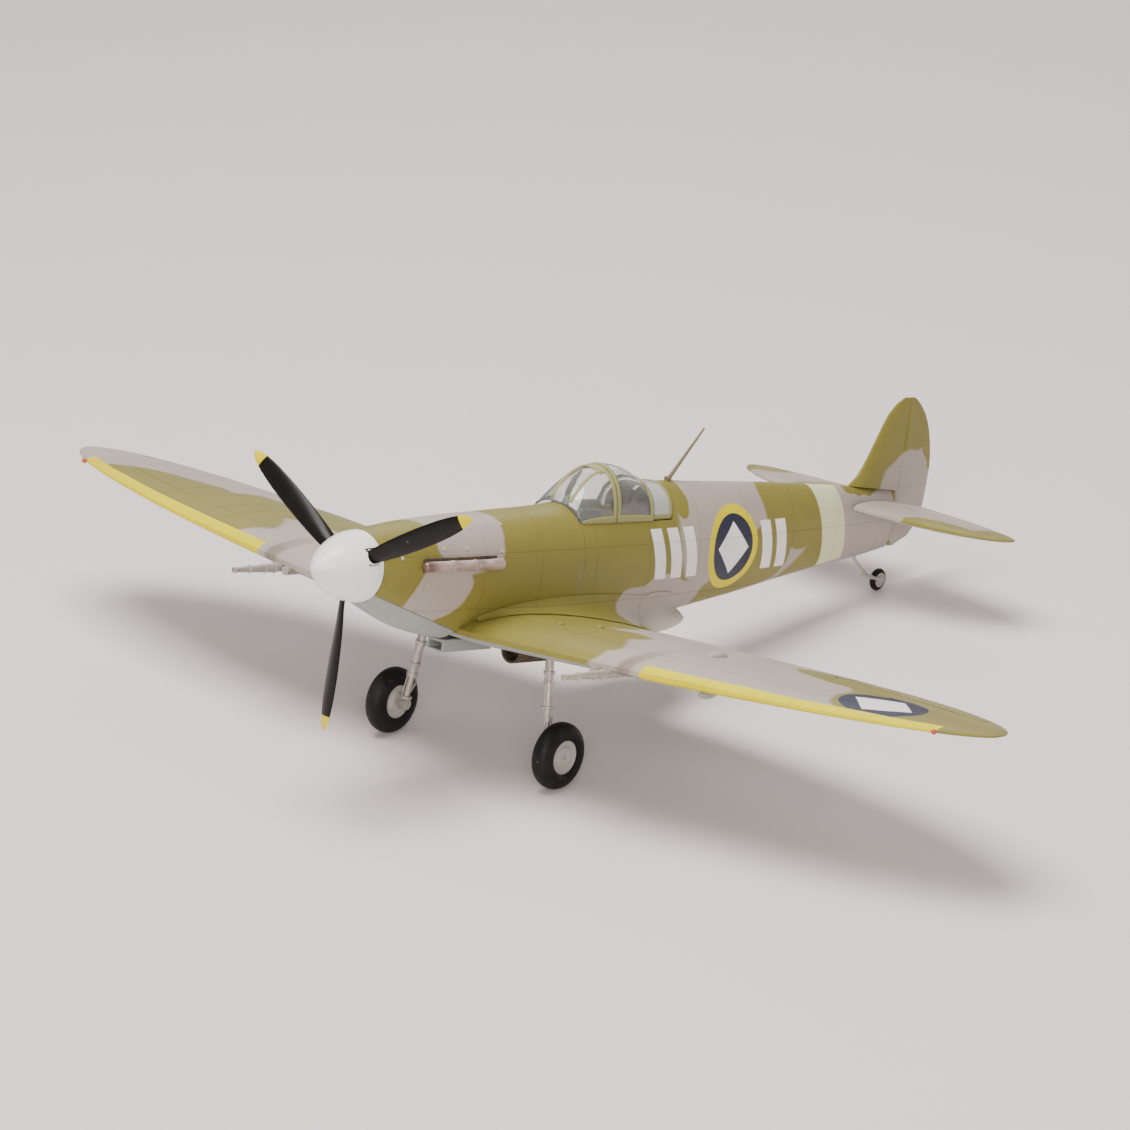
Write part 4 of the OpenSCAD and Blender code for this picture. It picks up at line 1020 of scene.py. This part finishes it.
    def make_tyre(self) -> bpy.types.Material:
        """Dull black rubber, dusty in places."""
        f = Finish("dull_rubber", self.groups)
        dust = f.soft_step(f.noise(f.place, 0.06, 4.0).outputs["Fac"], 0.5, 0.72)
        colour = f.blend(f.times(dust, 0.35), (0.008, 0.0075, 0.007, 1), (0.035, 0.03, 0.026, 1))
        return f.age(colour, 0.5, 0.2, depth=0.08).material

    def make_exhaust(self) -> bpy.types.Material:
        """Burnt metal, pinkish silver with brown blotches, darker towards the front end."""
        f = Finish("burnt_exhaust", self.groups)
        burn = f.soft_step(f.noise(f.place, 0.07, 3.0).outputs["Fac"], 0.40, 0.75)
        front = f.soft_step(f.x, -88.0, -74.0)
        shade = f.most(f.times(burn, 0.6), f.times(front, 0.85))
        colour = f.blend(shade, (0.56, 0.42, 0.385, 1), (0.13, 0.07, 0.055, 1))
        return f.age(colour, 0.32, 0.15, depth=0.05).set(metallic=0.5).material

    def make_wrap(self, name: str, colour: Colour, gloss: float) -> bpy.types.Material:
        """Smooth coloured plastic with faint ribs."""
        f = Finish(name, self.groups)
        ribs = f.use(self.groups.seams, along=f.x, across=f.z, pitch=6.0, offset=0.0, width=0.3,
                     rivet_pitch=50.0)
        return f.age(colour, gloss, 0.1, f.times(ribs.outputs[0], 0.5), depth=0.05).material

    def make_floor(self) -> bpy.types.Material:
        """Pale, plain floor with a faint tooth."""
        f = Finish("pale_floor", self.groups)
        tooth = f.noise(f.place, 0.02, 3.0).outputs["Fac"]
        f.set(base_color=f.blend(tooth, (0.80, 0.73, 0.715, 1), (0.82, 0.75, 0.735, 1)),
              roughness=f.plus(0.85, f.times(tooth, 0.1)))
        return f.material


# ---- sub-assemblies


def mark_above(piece: bpy.types.Object) -> None:
    """Marks the faces that look upwards, for two-tone paint."""
    mesh = piece.data
    up = LEVEL.to_3x3().col[2].normalized()
    marks = mesh.attributes.new("above", "FLOAT", "FACE")
    marks.data.foreach_set("value", [float(p.normal.dot(up) > UPWARD) for p in mesh.polygons])


def dress_nodes(finish: bpy.types.Material, *names: str) -> None:
    """Gives CAD nodes that stay as they are a material."""
    for name in names:
        mesh = frame["nodes"][name].data
        mesh.materials.clear()
        mesh.materials.append(finish)
        log.info("%s keeps its CAD mesh", name)


@dataclass
class Assembly:
    """A group of pieces, all with the same finishes at hand."""

    finishes: Finishes

    def build(self) -> None:
        """Makes nothing, unless the sub-assembly has meshes of its own."""

    def dress(self) -> None:
        """Finishes nothing, unless the sub-assembly has more to finish."""


@dataclass
class Fuselage(Assembly):
    """Skins, cowl, fillets, mast and spine light."""

    wall: float = 2.4
    ribs: int = 44
    step: float = 0.2
    lip_r: float = 0.75
    fasteners: tuple[tuple[float, float], ...] = (
        (109, 30), (118, 15), (97, 15), (88, 1.5), (128, 30), (152, 12), (160, 30), (58, 10))

    def lip_z(self, s: float) -> float:
        """Height of the joint between side skin and lower cowl."""
        return -15 - 28 * (s - BODY.nose_s) / (WING.le_s - BODY.nose_s)

    def high_angle(self, s: float) -> float:
        """Where the side skin begins, from the spine or the cockpit's sill."""
        return BODY.angle_at(s, BODY.sill_z) if BODY.sill_s < s < BODY.glaze_s else 90.0

    def low_angle(self, s: float) -> float:
        """Where the side skin ends, at the cowl, the wing or the keel."""
        if s < WING.le_s:
            return BODY.angle_at(s, self.lip_z(s))
        if s <= WING.le_s + WING.root_chord:
            return BODY.angle_at(s, WING.surface(s, WING.knee_y, 1) + 0.1)
        return -90.0

    def wall_law(self, high: Callable[[float], float], low: Callable[[float], float]) -> Law:
        """Law of a walled skin: outside from high to low, then inside back up."""
        def law(s: float, column: float) -> Vector:
            """A point of the walled skin."""
            n = self.ribs
            k = column % (2 * n + 2)
            inside = k > n
            share = (2 * n + 1 - k if inside else k) / n
            top, bottom = high(s), low(s)
            return BODY.point(s, top + (bottom - top) * share, -self.wall if inside else 0.0)
        return law

    def build(self) -> None:
        """Makes the skins, cowl and lip beads."""
        sill, glaze, end = BODY.sill_s, BODY.glaze_s, WING.le_s + WING.root_chord
        rows = (spread(BODY.nose_s, WING.le_s - self.step, 22)
                + [WING.le_s + (sill - WING.le_s) * f * f for f in spread(0, 1, 24)]
                + spread(sill + self.step, end, 18) + spread(end + self.step, glaze - self.step, 7)
                + spread(glaze, BODY.stern_s, 60))
        columns = range(2 * self.ribs + 3)
        for side in Side:
            skin = close_ends(sheet(rows, columns, self.wall_law(self.high_angle, self.low_angle)))
            make_piece(mirrored(skin, side), f"skin_{side.word}", Body.AIRFRAME,
                       [self.finishes.fuselage], [f"fuselage_{side.word}"], 40)
        cowl_rows = spread(BODY.nose_s, WING.le_s - 0.6, 22)

        def edge(s: float) -> float:
            """Upper edge of the cowl."""
            return BODY.angle_at(s, self.lip_z(s) - 0.1)

        cowl = close_ends(sheet(cowl_rows, columns, self.wall_law(edge, lambda s: -180 - edge(s))))
        make_piece(cowl, "cowl_skin", Body.AIRFRAME, [self.finishes.cowl], ["lower_cowl"], 40)
        beads = []
        for side in Side:
            path = [BODY.on_side(s, self.lip_z(s) - 0.8, 0.1) for s in spread(42.6, WING.le_s - 1.5, 26)]
            beads.append(mirrored(tube(path, [self.lip_r] * len(path), 12), side))
        make_piece(gather(beads), "cowl_beads", Body.AIRFRAME, [self.finishes.cowl])

    def dress(self) -> None:
        """Finishes fillets, mast, light, intake, cooler and the fasteners on the cowling."""
        f = self.finishes
        for side in ("left", "right"):
            refine_node(f"fillet_{side}", Body.AIRFRAME, f.fuselage, crease=40)
        refine_node("antenna_mast", Body.AIRFRAME, f.mast)
        refine_node("spine_light", Body.AIRFRAME, f.spinner, 0.25)
        refine_node("carb_intake", Body.AIRFRAME, f.cowl, 0.8)
        refine_node("oil_cooler", Body.AIRFRAME, f.soot, 0.4)
        heads = []
        for side in Side:
            for s, z in self.fasteners:
                if abs(BODY.angle_at(s, min(z, BODY.read(s)[1] - 3))) > 80:
                    continue
                z = min(z, BODY.read(s)[1] - 4)
                at, out = BODY.on_side(s, z), BODY.on_side(s, z, 1.0)
                normal = Vector((0, out.y - at.y, out.z - at.z + 0.02 * z))
                head = [(-0.4, 0), (-0.4, 1.5), (0.15, 1.5), (0.45, 1.1), (0.5, 0.5), (0.3, 0.45), (0.3, 0)]
                heads.append(mirrored(turned(head, at, normal, 20), side))
        make_piece(gather(heads), "cowling_fasteners", Body.AIRFRAME, [f.hub])


@dataclass
class Exhausts(Assembly):
    """Three-part exhaust pipe with stub nozzles, on each side of the nose."""

    front_s: float = 76.0
    back_s: float = 146.0
    height: float = 5.0
    radius: float = 3.5
    seams: tuple[float, ...] = (24.0, 45.0)

    def profile(self, length: float) -> list[tuple[float, float]]:
        """Outline of the pipe: rounded front, grooved seams, flared and hollow rear end."""
        r = self.radius
        line = [(-r * math.cos(math.radians(q)), r * math.sin(math.radians(q))) for q in range(0, 91, 9)]
        for seam in self.seams:
            line += [(seam - 1.8, r), (seam - 0.9, r + 0.35), (seam - 0.35, r + 0.35), (seam, r - 0.55),
                     (seam + 0.35, r + 0.3), (seam + 0.9, r + 0.3), (seam + 2, r)]
        return line + [(length - 12, r), (length - 5, r + 0.25), (length - 0.5, r + 0.65), (length, r + 0.5),
                       (length, r - 0.1), (length - 8, r - 0.8), (length - 8, 0)]

    def build(self) -> None:
        """Makes both pipes and, on the skin behind each, a dark panel of painted shade."""
        near, far = (Vector((-s, BODY.side_y(s, self.height) + self.radius + 0.5, self.height))
                     for s in (self.front_s, self.back_s))
        run = far - near
        for side in Side:
            node = f"exhaust_{side.word}"
            parts = [turned(self.profile(run.length), near, run, 40)]
            for k in range(3):
                start = near + run * (0.08 + 0.28 * k)
                path = [start + Vector((-14, 3.6, 0.5)) * t for t in (0, 0.5, 0.8, 0.97, 1.0, 0.99, 0.8)]
                parts.append(tube(path, [2.2, 2.3, 2.3, 2.45, 2.2, 1.6, 1.5], 20))
            make_piece(mirrored(gather(parts), side), node + "_pipe", Body.AIRFRAME,
                       [self.finishes.exhaust], [node], 35)

            def plate(s: float, z: float) -> Vector:
                """A point of the dark panel of painted shade."""
                return BODY.on_side(s, z, 0.12)

            # Dark sheet laid on the skin behind the pipe: painted shade.
            panel = sheet(spread(self.front_s, self.back_s, 24), spread(0.5, 9.6, 10), plate)
            piece = make_piece(mirrored(panel, side), node + "_recess", Body.AIRFRAME,
                               [self.finishes.soot])
            thicken(piece, 0.3)


@dataclass
class Propeller(Assembly):
    """Spinner, backplate and three twisted blades."""

    radius: float = 108.5
    root_r: float = 7.0
    disc_s: float = 34.0
    pitch: float = 150.0
    turns: tuple[float, ...] = (-90, 30, 150)

    def blade(self, turn: float) -> bmesh.types.BMesh:
        """One blade, turned round the shaft by some degrees."""
        spin = Matrix.Rotation(math.radians(turn), 4, "X")

        def law(r: float, q: float) -> Vector:
            """A point of the blade's section at radius r."""
            f = (r - self.root_r) / (self.radius - self.root_r)
            tip = math.sqrt(max(0.004, 1 - f ** 9))
            taper = tip * (1 - 0.26 * f ** 2.5)
            chord = (9 + 6.5 * math.sin(math.radians(180 * f ** 0.9 * 0.62))) * taper
            twist = math.atan(self.pitch / (math.tau * max(r, 26)))
            thick = (3.4 - 2.3 * f) * tip
            u = chord / 2 * math.cos(q)
            v = thick / 2 * math.sin(q) + 0.36 * thick * math.sin(math.pi * (u / chord + 0.5))
            x, z = u * math.cos(twist) - v * math.sin(twist), u * math.sin(twist) + v * math.cos(twist)
            return spin @ Vector((z - self.disc_s, r, x))

        rows = spread(self.root_r, 92, 26) + spread(94, 104, 8) + [105.5, 106.8, 107.6, 108.1, 108.4, 108.5]
        return close_ends(sheet(rows, spread(0, math.tau, 28), law))

    def build(self) -> None:
        """Makes the blades and the hub."""
        hub = turned([(0, 2.6), (0, 9), (9.5, 9), (9.5, 2.6), (0, 2.6)], Vector((-30, 0, 0)), AFT)
        blades = [self.blade(turn) for turn in self.turns]
        sockets = []
        for turn in self.turns:
            out = Vector((0, math.cos(math.radians(turn)), math.sin(math.radians(turn))))
            cup = [(14, 4.6), (14, 5.4), (21.0, 5.4), (21.6, 5.0), (21.6, 4.6), (19.0, 4.4), (19.0, 0)]
            sockets.append(turned(cup, Vector((-self.disc_s, 0, 0)), out, 32))
        make_piece(gather(sockets), "blade_sockets", Body.PROPELLER, [self.finishes.spinner])
        make_piece(gather([*blades, hub]), "blades", Body.PROPELLER, [self.finishes.blade],
                   ["propeller"], 50)
        refine_node("spinner", Body.PROPELLER, self.finishes.spinner, 0.15, 40)

    def dress(self) -> None:
        """Finishes the motor side of the rotor."""
        dress_nodes(self.finishes.spinner, "spinner_backplate")
        dress_nodes(self.finishes.bright, "prop_nut", "motor_shaft")
        dress_nodes(self.finishes.case, "motor_bell")


@dataclass
class Wings(Assembly):
    """Wings, ailerons, cannons and lamps."""

    bumps: tuple[tuple[float, ...], ...] = (
        (202, 176, 21, 9, 3.4), (197, 82, 7, 5, 1.6), (176, 66, 6, 4, 1.4))
    pod_y: float = 212.0
    pod_s: tuple[float, ...] = (143, 144, 147, 151, 156, 160, 162)
    pod_r: tuple[float, ...] = (0.4, 1.6, 2.5, 2.8, 2.4, 1.3, 0.3)
    collars: tuple[tuple[float, float], ...] = ((89.6, 1.75), (104, 2.35), (119, 2.75), (128, 3.15))
    barrel_y: float = 144.0
    barrel_z: float = -40.0

    def build(self) -> None:
        """Refines the wings and ailerons."""
        f = self.finishes
        for side in ("left", "right"):
            mark_above(refine_node(f"wing_{side}", Body.AIRFRAME, f.wing, crease=40))
        mark_above(refine_node("aileron_left", Body.LEFT_AILERON, f.wing, crease=40))
        mark_above(refine_node("aileron_right", Body.RIGHT_AILERON, f.wing, crease=40))

    def dress(self) -> None:
        """Adds blisters, cannons and lamps."""
        f = self.finishes
        blisters = []
        for s, y, length, width, height in self.bumps:
            for side in Side:
                bm = bmesh.new()
                bmesh.ops.create_uvsphere(bm, u_segments=32, v_segments=16, radius=1)
                bmesh.ops.scale(bm, vec=(length / 2, width / 2, height), verts=bm.verts)
                bmesh.ops.translate(bm, vec=(-s, y, WING.surface(s, y, 1) - 0.2), verts=bm.verts)
                cut = bm.verts[:] + bm.edges[:] + bm.faces[:]
                bmesh.ops.bisect_plane(bm, geom=cut, plane_co=(0, 0, WING.surface(s, y, 1) - 0.9),
                                       plane_no=(0, 0, -1), clear_outer=True)
                blisters.append(mirrored(close_ends(bm), side))
        pod_z = WING.surface(150, self.pod_y, -1) - 1.2
        pod = tube([Vector((-s, self.pod_y, pod_z)) for s in self.pod_s], self.pod_r, 24)
        make_piece(pod, "wing_pod", Body.AIRFRAME, [f.cowl])
        mark_above(make_piece(gather(blisters), "wing_blisters", Body.AIRFRAME, [f.wing]))
        refine_node("cannons", Body.AIRFRAME, f.leg, crease=40)
        collars = []
        for side in Side:
            for s, r in self.collars:
                ring = [(-0.9, r - 0.3), (-0.9, r + 0.25), (-0.5, r + 0.5), (0.5, r + 0.5),
                        (0.9, r + 0.25), (0.9, r - 0.3)]
                at = Vector((-s, self.barrel_y, self.barrel_z))
                collars.append(mirrored(turned(ring, at, AFT, 28), side))
        make_piece(gather(collars), "cannon_collars", Body.AIRFRAME, [f.leg])
        refine_node("nav_lights", Body.AIRFRAME, f.red_lens, crease=60)


@dataclass
class TailGroup(Assembly):
    """Fin, rudder, tailplane, elevators and the steerable tail wheel."""

    def build(self) -> None:
        """Refines the tail surfaces."""
        f = self.finishes
        refine_node("fin", Body.AIRFRAME, f.fin, crease=40)
        refine_node("rudder", Body.RUDDER, f.fin, crease=40)
        mark_above(refine_node("tailplane", Body.AIRFRAME, f.tailplane, crease=40))
        mark_above(refine_node("elevators", Body.ELEVATOR, f.tailplane, crease=40))

    def dress(self) -> None:
        """Finishes the tail strut and its wheel."""
        refine_node("tail_wheel_fork", Body.TAIL_STRUT, self.finishes.leg, crease=50)
        refine_node("tail_wheel", Body.TAIL_ROLLER, self.finishes.tyre, crease=50)
        hub = [(-3.05, 1.2), (-3.05, 2.2), (-2.7, 3.2), (-2.6, 5.0), (-2.2, 5.4)]
        caps = [turned([(a * k, r) for a, r in hub], Vector((-607, 0, -34)), PORT, 32)
                for k in (1, -1)]
        piece = make_piece(gather(caps), "tail_wheel_caps", Body.TAIL_ROLLER,
                           [self.finishes.hub])
        thicken(piece, 0.3)


@dataclass
class Canopy(Assembly):
    """Windscreen, sliding hood and rear pane with their painted frames."""

    base: float = 25.1
    power: float = 2 / 2.2
    rise: float = 0.55
    tops: tuple[tuple[float, float], ...] = ((236, 36), (246, 48), (258, 56), (272, 59.5), (284, 60),
                                             (298, 56.5), (311, 50))

    def point(self, s: float, angle: float, out: float = 0.05) -> Vector:
        """A point of the windscreen or the hood."""
        half = BODY.side_y(s, BODY.sill_z) + out
        top = smooth_row(self.tops, s, 1) + out - self.base
        a = math.radians(angle)
        return Vector((-s, half * signed_power(math.cos(a), self.power),
                       self.base + top * signed_power(math.sin(a), self.power)))

    def rear_point(self, s: float, angle: float, out: float = 0.05) -> Vector:
        """A point of the rear pane."""
        half = BODY.side_y(s, BODY.sill_z) - 2.2 + out
        top = 47.3 - (s - 311) * 0.04 + out - self.base
        a = math.radians(angle)
        return Vector((-s, half * signed_power(math.cos(a), self.power),
                       self.base + top * signed_power(math.sin(a), self.power)))

    def band(self, law: Law, s0: float, s1: float, a0: float, a1: float, name: str, body: Body,
             slot: str) -> None:
        """A painted strip of frame over part of the glazing."""
        steps = max(3, round(abs(a1 - a0) / 4))
        strip = sheet(spread(s0, s1, max(2, round((s1 - s0) / 2))), spread(a0, a1, steps), law)
        thicken(make_piece(strip, name, body, [self.finishes.frames], crease=50), self.rise, 1.0)

    def build(self) -> None:
        """Makes the frames."""
        clear, milky = "clear_glazing", "frosted_glazing"
        self.band(self.point, 268.0, 271.6, 0, 180, "windscreen_arch", Body.AIRFRAME, clear)
        self.band(self.point, 263.5, 271.6, 66, 114, "windscreen_cap", Body.AIRFRAME, clear)
        self.band(self.point, 272.4, 275.4, 0, 180, "hood_front_frame", Body.HOOD, clear)
        self.band(self.point, 307.4, 310.8, 0, 180, "hood_rear_frame", Body.HOOD, clear)
        for side, low, high in (("left", 0, 7), ("right", 173, 180)):
            self.band(self.point, 238.5, 271.6, low, high, f"windscreen_rail_{side}", Body.AIRFRAME, clear)
            self.band(self.point, 272.4, 310.8, low, high, f"hood_rail_{side}", Body.HOOD, clear)
            self.band(self.rear_point, 311.6, 333.2, low, high, f"pane_rail_{side}", Body.AIRFRAME, milky)
        self.band(self.rear_point, 311.6, 313.6, 0, 180, "pane_front_frame", Body.AIRFRAME, milky)
        self.band(self.rear_point, 331.2, 333.3, 0, 180, "pane_rear_frame", Body.AIRFRAME, milky)
        bars = []
        for side in Side:
            path = []
            for s in spread(237.5, 266, 16):
                lean = 8.3 - 0.9 * (s - 237.5) / 28.5
                angle = math.degrees(math.acos((lean / BODY.side_y(s, BODY.sill_z)) ** (1 / self.power)))
                path.append(self.point(s, angle, 0.3))
            bars.append(mirrored(tube(path, [1.25] * len(path), 14, 0.55), side))
        make_piece(gather(bars), "windscreen_bars", Body.AIRFRAME, [self.finishes.frames])

    def dress(self) -> None:
        """Finishes the panes."""
        f = self.finishes
        refine_node("windscreen", Body.AIRFRAME, f.glass, crease=40)
        refine_node("sliding_hood", Body.HOOD, f.glass, crease=40)
        refine_node("rear_glazing", Body.AIRFRAME, f.frosted, crease=40)


@dataclass
class Cockpit(Assembly):
    """Tub, seat, headrest, panel and stick."""

    dials: tuple[tuple[float, float, float], ...] = (
        (-8, 30, 2.3), (-3, 30.5, 2.3), (3, 30.5, 2.3), (8, 30, 2.3), (-5.5, 26, 1.8), (0, 26, 2),
        (5.5, 26, 1.8))
    panel_s: float = 246.1
    console_y: float = 11.4

    def build(self) -> None:
        """Adds dials, side consoles, a gunsight and a stick grip."""
        f = self.finishes
        dials = []
        for y, z, r in self.dials:
            rim = [(-0.2, 0), (0.35, 0), (0.35, r - 0.5), (0.7, r - 0.35), (0.6, r), (-0.2, r)]
            dials.append(turned(rim, Vector((-self.panel_s, y, z)), AFT, 24))
        make_piece(gather(dials), "panel_dials", Body.AIRFRAME, [f.nylon])
        lens = turned([(0, 0), (0, 1.8), (2.2, 1.8), (2.2, 1.2), (1.9, 0)], Vector((-245.2, 0, 37.4)), UP, 24)
        sight = gather([block(Vector((-247, -2.4, 34)), Vector((-243.5, 2.4, 37.5))), lens])
        make_piece(sight, "gun_sight", Body.AIRFRAME, [f.tub])
        boxes = [block(Vector((-296, y - 2.4, 8)), Vector((-250, y + 2.4, 15)))
                 for y in (self.console_y, -self.console_y)]
        make_piece(gather(boxes), "side_consoles", Body.AIRFRAME, [f.tub])
        grip = turned([(0, 0), (0, 1.6), (1, 2), (5, 1.8), (6, 1.2), (6.3, 0)], Vector((-264, 0, 14)),
                      Vector((-0.1, 0, 1)), 20)
        make_piece(grip, "stick_grip", Body.AIRFRAME, [f.pad])

    def dress(self) -> None:
        """Finishes the tub, seat and headrest."""
        f = self.finishes
        refine_node("cockpit_tub", Body.AIRFRAME, f.tub, 0.25)
        refine_node("seat", Body.AIRFRAME, f.seat, 0.7)
        refine_node("headrest", Body.AIRFRAME, f.pad, 0.5)


@dataclass
class Undercarriage(Assembly):
    """Legs and main wheels."""

    wheel_s: float = 186.0
    wheel_z: float = -116.0
    inner_y: float = 66.5
    width: float = 14.0
    radius: float = 22.5
    wall: float = 9.0
    lean: float = 0.85

    def tyre_profile(self) -> list[tuple[float, float]]:
        """Rounded balloon tyre with a bead and a moulded ring on each flank."""
        rim, w = self.radius - self.wall, self.width
        line = []
        for k in range(-90, 91, 5):
            a = math.radians(k)
            groove = 0.28 if abs(k) in (55, 60) else 0.0
            line.append((w / 2 * (1 + signed_power(math.sin(a), self.lean)),
                         rim + self.wall * max(0.0, math.cos(a)) ** 0.75 - groove))
        lip = [(0.75, 11.8), (1.0, 11.4), (1.35, 11.6), (1.4, rim)]
        return [*reversed(lip), *line, *((w - t, r) for t, r in lip), (1.4, rim)]

    def wheel_profile(self) -> list[tuple[float, float]]:
        """Dished hub with rim lips, a raised ring and a bore for the axle."""
        w, rim = self.width, self.radius - self.wall - 0.06
        outer = [(w - 1.5, 1.56), (w - 1.5, 4.6), (w - 1.2, 4.9), (w - 1.2, 6.2), (w - 1.5, 6.6),
                 (w - 3.2, 7.0), (w - 3.6, 9.4), (w - 3.0, 10.8), (w - 1.7, 11.3), (w - 1.5, 11.6),
                 (w - 1.5, rim - 0.2), (w - 1.7, rim)]
        return outer + [(1.7, rim), (1.5, rim - 0.2), (1.5, 11.6), (2.6, 10.8), (3.4, 7.0), (1.8, 5.2),
                        (1.5, 4.8), (1.5, 1.56), (w - 1.5, 1.56)]

    def build(self) -> None:
        """Makes tyres and wheels."""
        f = self.finishes
        at = Vector((-self.wheel_s, self.inner_y, self.wheel_z))
        for side, body in ((Side.LEFT, Body.LEFT_WHEEL), (Side.RIGHT, Body.RIGHT_WHEEL)):
            word = side.word
            make_piece(mirrored(turned(self.tyre_profile(), at, PORT, 96), side), f"balloon_{word}",
                       body, [f.tyre], [f"tyre_{word}"], 30)
            wheel = [turned(self.wheel_profile(), at, PORT, 64)]
            for k in range(5):
                turn = math.tau * k / 5
                spot = at + Vector((8.1 * math.cos(turn), self.width - 3.8, 8.1 * math.sin(turn)))
                wheel.append(turned([(0, 0), (0, 0.9), (0.8, 0.9), (1.1, 0.6), (1.1, 0)], spot, PORT, 12))
            make_piece(mirrored(gather(wheel), side), f"hub_{word}", body, [f.hub],
                       [f"wheel_{word}"], 30)

    def dress(self) -> None:
        """Finishes the legs."""
        for side in Side:
            refine_node(f"gear_leg_{side.word}", Body.AIRFRAME, self.finishes.leg, 0.3, 35)
            foot = Vector((-self.wheel_s, 62.5, self.wheel_z))
            rise = Vector((0, -math.sin(math.radians(8)), math.cos(math.radians(8))))
            knee = foot + 15 * rise + Vector((-6.5, 0, 0))
            links = [tube([foot + 7 * rise + Vector((-2, 0, 0)), knee], [1.1, 0.8], 14, 0.6),
                     tube([knee, foot + 23 * rise + Vector((-2.5, 0, 0))], [0.8, 1.1], 14, 0.6)]
            line = [foot + (3 + 8 * k) * rise + Vector((3.2 + 0.5 * math.sin(1.4 * k), 0.8, 0))
                    for k in range(8)]
            links.append(tube(line, [0.45] * 8, 10))
            for k in (5, 29, 52):
                ring = [(-1, 2.6), (-1, 3.7), (-0.6, 4.0), (0.6, 4.0), (1, 3.7), (1, 2.6)]
                links.append(turned(ring, foot + k * rise, rise, 32))
            make_piece(mirrored(gather(links), side), f"leg_links_{side.word}", Body.AIRFRAME,
                       [self.finishes.leg])


@dataclass
class Equipment(Assembly):
    """Motor, battery, radio gear, spar and other inner pieces."""

    def dress(self) -> None:
        """Finishes every inner node on its CAD mesh."""
        f = self.finishes
        dress_nodes(f.ply, "firewall", "equipment_tray", "wing_plate", "servo_tray", "tail_bearing")
        dress_nodes(f.copper, "motor_stator")
        dress_nodes(f.wrap, "speed_controller", "battery", "receiver")
        dress_nodes(f.servo, "tail_servos", "aileron_servos")
        dress_nodes(f.nylon, "elevator_arm", "rudder_arm", "wing_bolts")
        dress_nodes(f.bright, "elevator_rod", "rudder_rod")
        dress_nodes(f.leg, "spar_joiner")
        dress_nodes(f.brass, "stand_socket")
        others = [n for n in frame["nodes"] if n.startswith("spar_") and n != "spar_joiner"]
        dress_nodes(f.spar, *others)


@dataclass(frozen=True)
class Studio:
    """Camera, lights and floor."""

    azimuth: float = 38.4
    elevation: float = 10.5
    roll: float = 9.2
    distance: float = 4588.0
    target: tuple[float, float, float] = (-253.9, 0.0, -8.5)
    lens: float = 219.6

    def place_camera(self) -> None:
        """Sets the camera ahead of the aircraft, to port and a little above."""
        az, el, roll = (math.radians(v) for v in (self.azimuth, self.elevation, self.roll))
        back = Vector((math.cos(el) * math.cos(az), math.cos(el) * math.sin(az), math.sin(el)))
        side = (-back).cross(UP).normalized()
        top = side.cross(-back)
        right = math.cos(roll) * side + math.sin(roll) * top
        up = math.cos(roll) * top - math.sin(roll) * side
        place = Matrix((right, up, back)).transposed().to_4x4()
        place.translation = Vector(self.target) + back * self.distance
        turn = LEVEL.to_quaternion().to_matrix().to_4x4() @ place.to_3x3().to_4x4()
        turn.translation = LEVEL @ place.translation
        data = bpy.data.cameras.new("camera")
        data.lens, data.sensor_width, data.clip_end = self.lens, 36.0, 60.0
        camera = bpy.data.objects.new("camera", data)
        camera.matrix_world = turn
        bpy.context.scene.collection.objects.link(camera)
        bpy.context.scene.camera = camera

    def place_light(self, name: str, at: tuple[float, float, float], size: float, power: float,
                    colour: tuple[float, float, float]) -> None:
        """Adds a square softbox that looks at the aircraft."""
        data = bpy.data.lights.new(name, "AREA")
        data.shape, data.size, data.energy, data.color = "SQUARE", size, power, colour
        lamp = bpy.data.objects.new(name, data)
        lamp.location = at
        lamp.rotation_euler = (Vector((0, 0, 0.08)) - Vector(at)).to_track_quat("-Z", "Y").to_euler()
        bpy.context.scene.collection.objects.link(lamp)

    def build(self, finishes: Finishes) -> None:
        """Makes the whole studio."""
        self.place_camera()
        self.place_light("key_softbox", (0.5, -0.2, 2.6), 1.5, 104, (1.0, 0.965, 0.94))
        self.place_light("fill_softbox", (2.6, 2.2, 1.4), 1.6, 66, (1.0, 0.955, 0.93))
        self.place_light("back_softbox", (-2.4, -1.6, 1.9), 1.8, 22, (0.95, 0.97, 1.0))
        world = bpy.data.worlds.new("studio")
        world.use_nodes = True
        world.node_tree.nodes["Background"].inputs["Color"].default_value = (0.80, 0.755, 0.745, 1)
        world.node_tree.nodes["Background"].inputs["Strength"].default_value = 0.5
        bpy.context.scene.world = world
        bm = bmesh.new()
        bmesh.ops.create_grid(bm, x_segments=2, y_segments=2, size=30)
        mesh = bpy.data.meshes.new("floor")
        bm.to_mesh(mesh)
        bm.free()
        mesh.materials.append(finishes.floor)
        floor = bpy.data.objects.new("floor", mesh)
        bpy.context.scene.collection.objects.link(floor)


def main() -> None:
    """Builds every sub-assembly and the studio."""
    logging.basicConfig(level=logging.INFO, format="%(name)s: %(message)s")
    finishes = Finishes(Groups())
    for kind in (Fuselage, Exhausts, Propeller, Wings, TailGroup, Canopy, Cockpit, Undercarriage, Equipment):
        assembly = kind(finishes)
        assembly.build()
        assembly.dress()
    Studio().build(finishes)


if __name__ == "__main__":
    main()
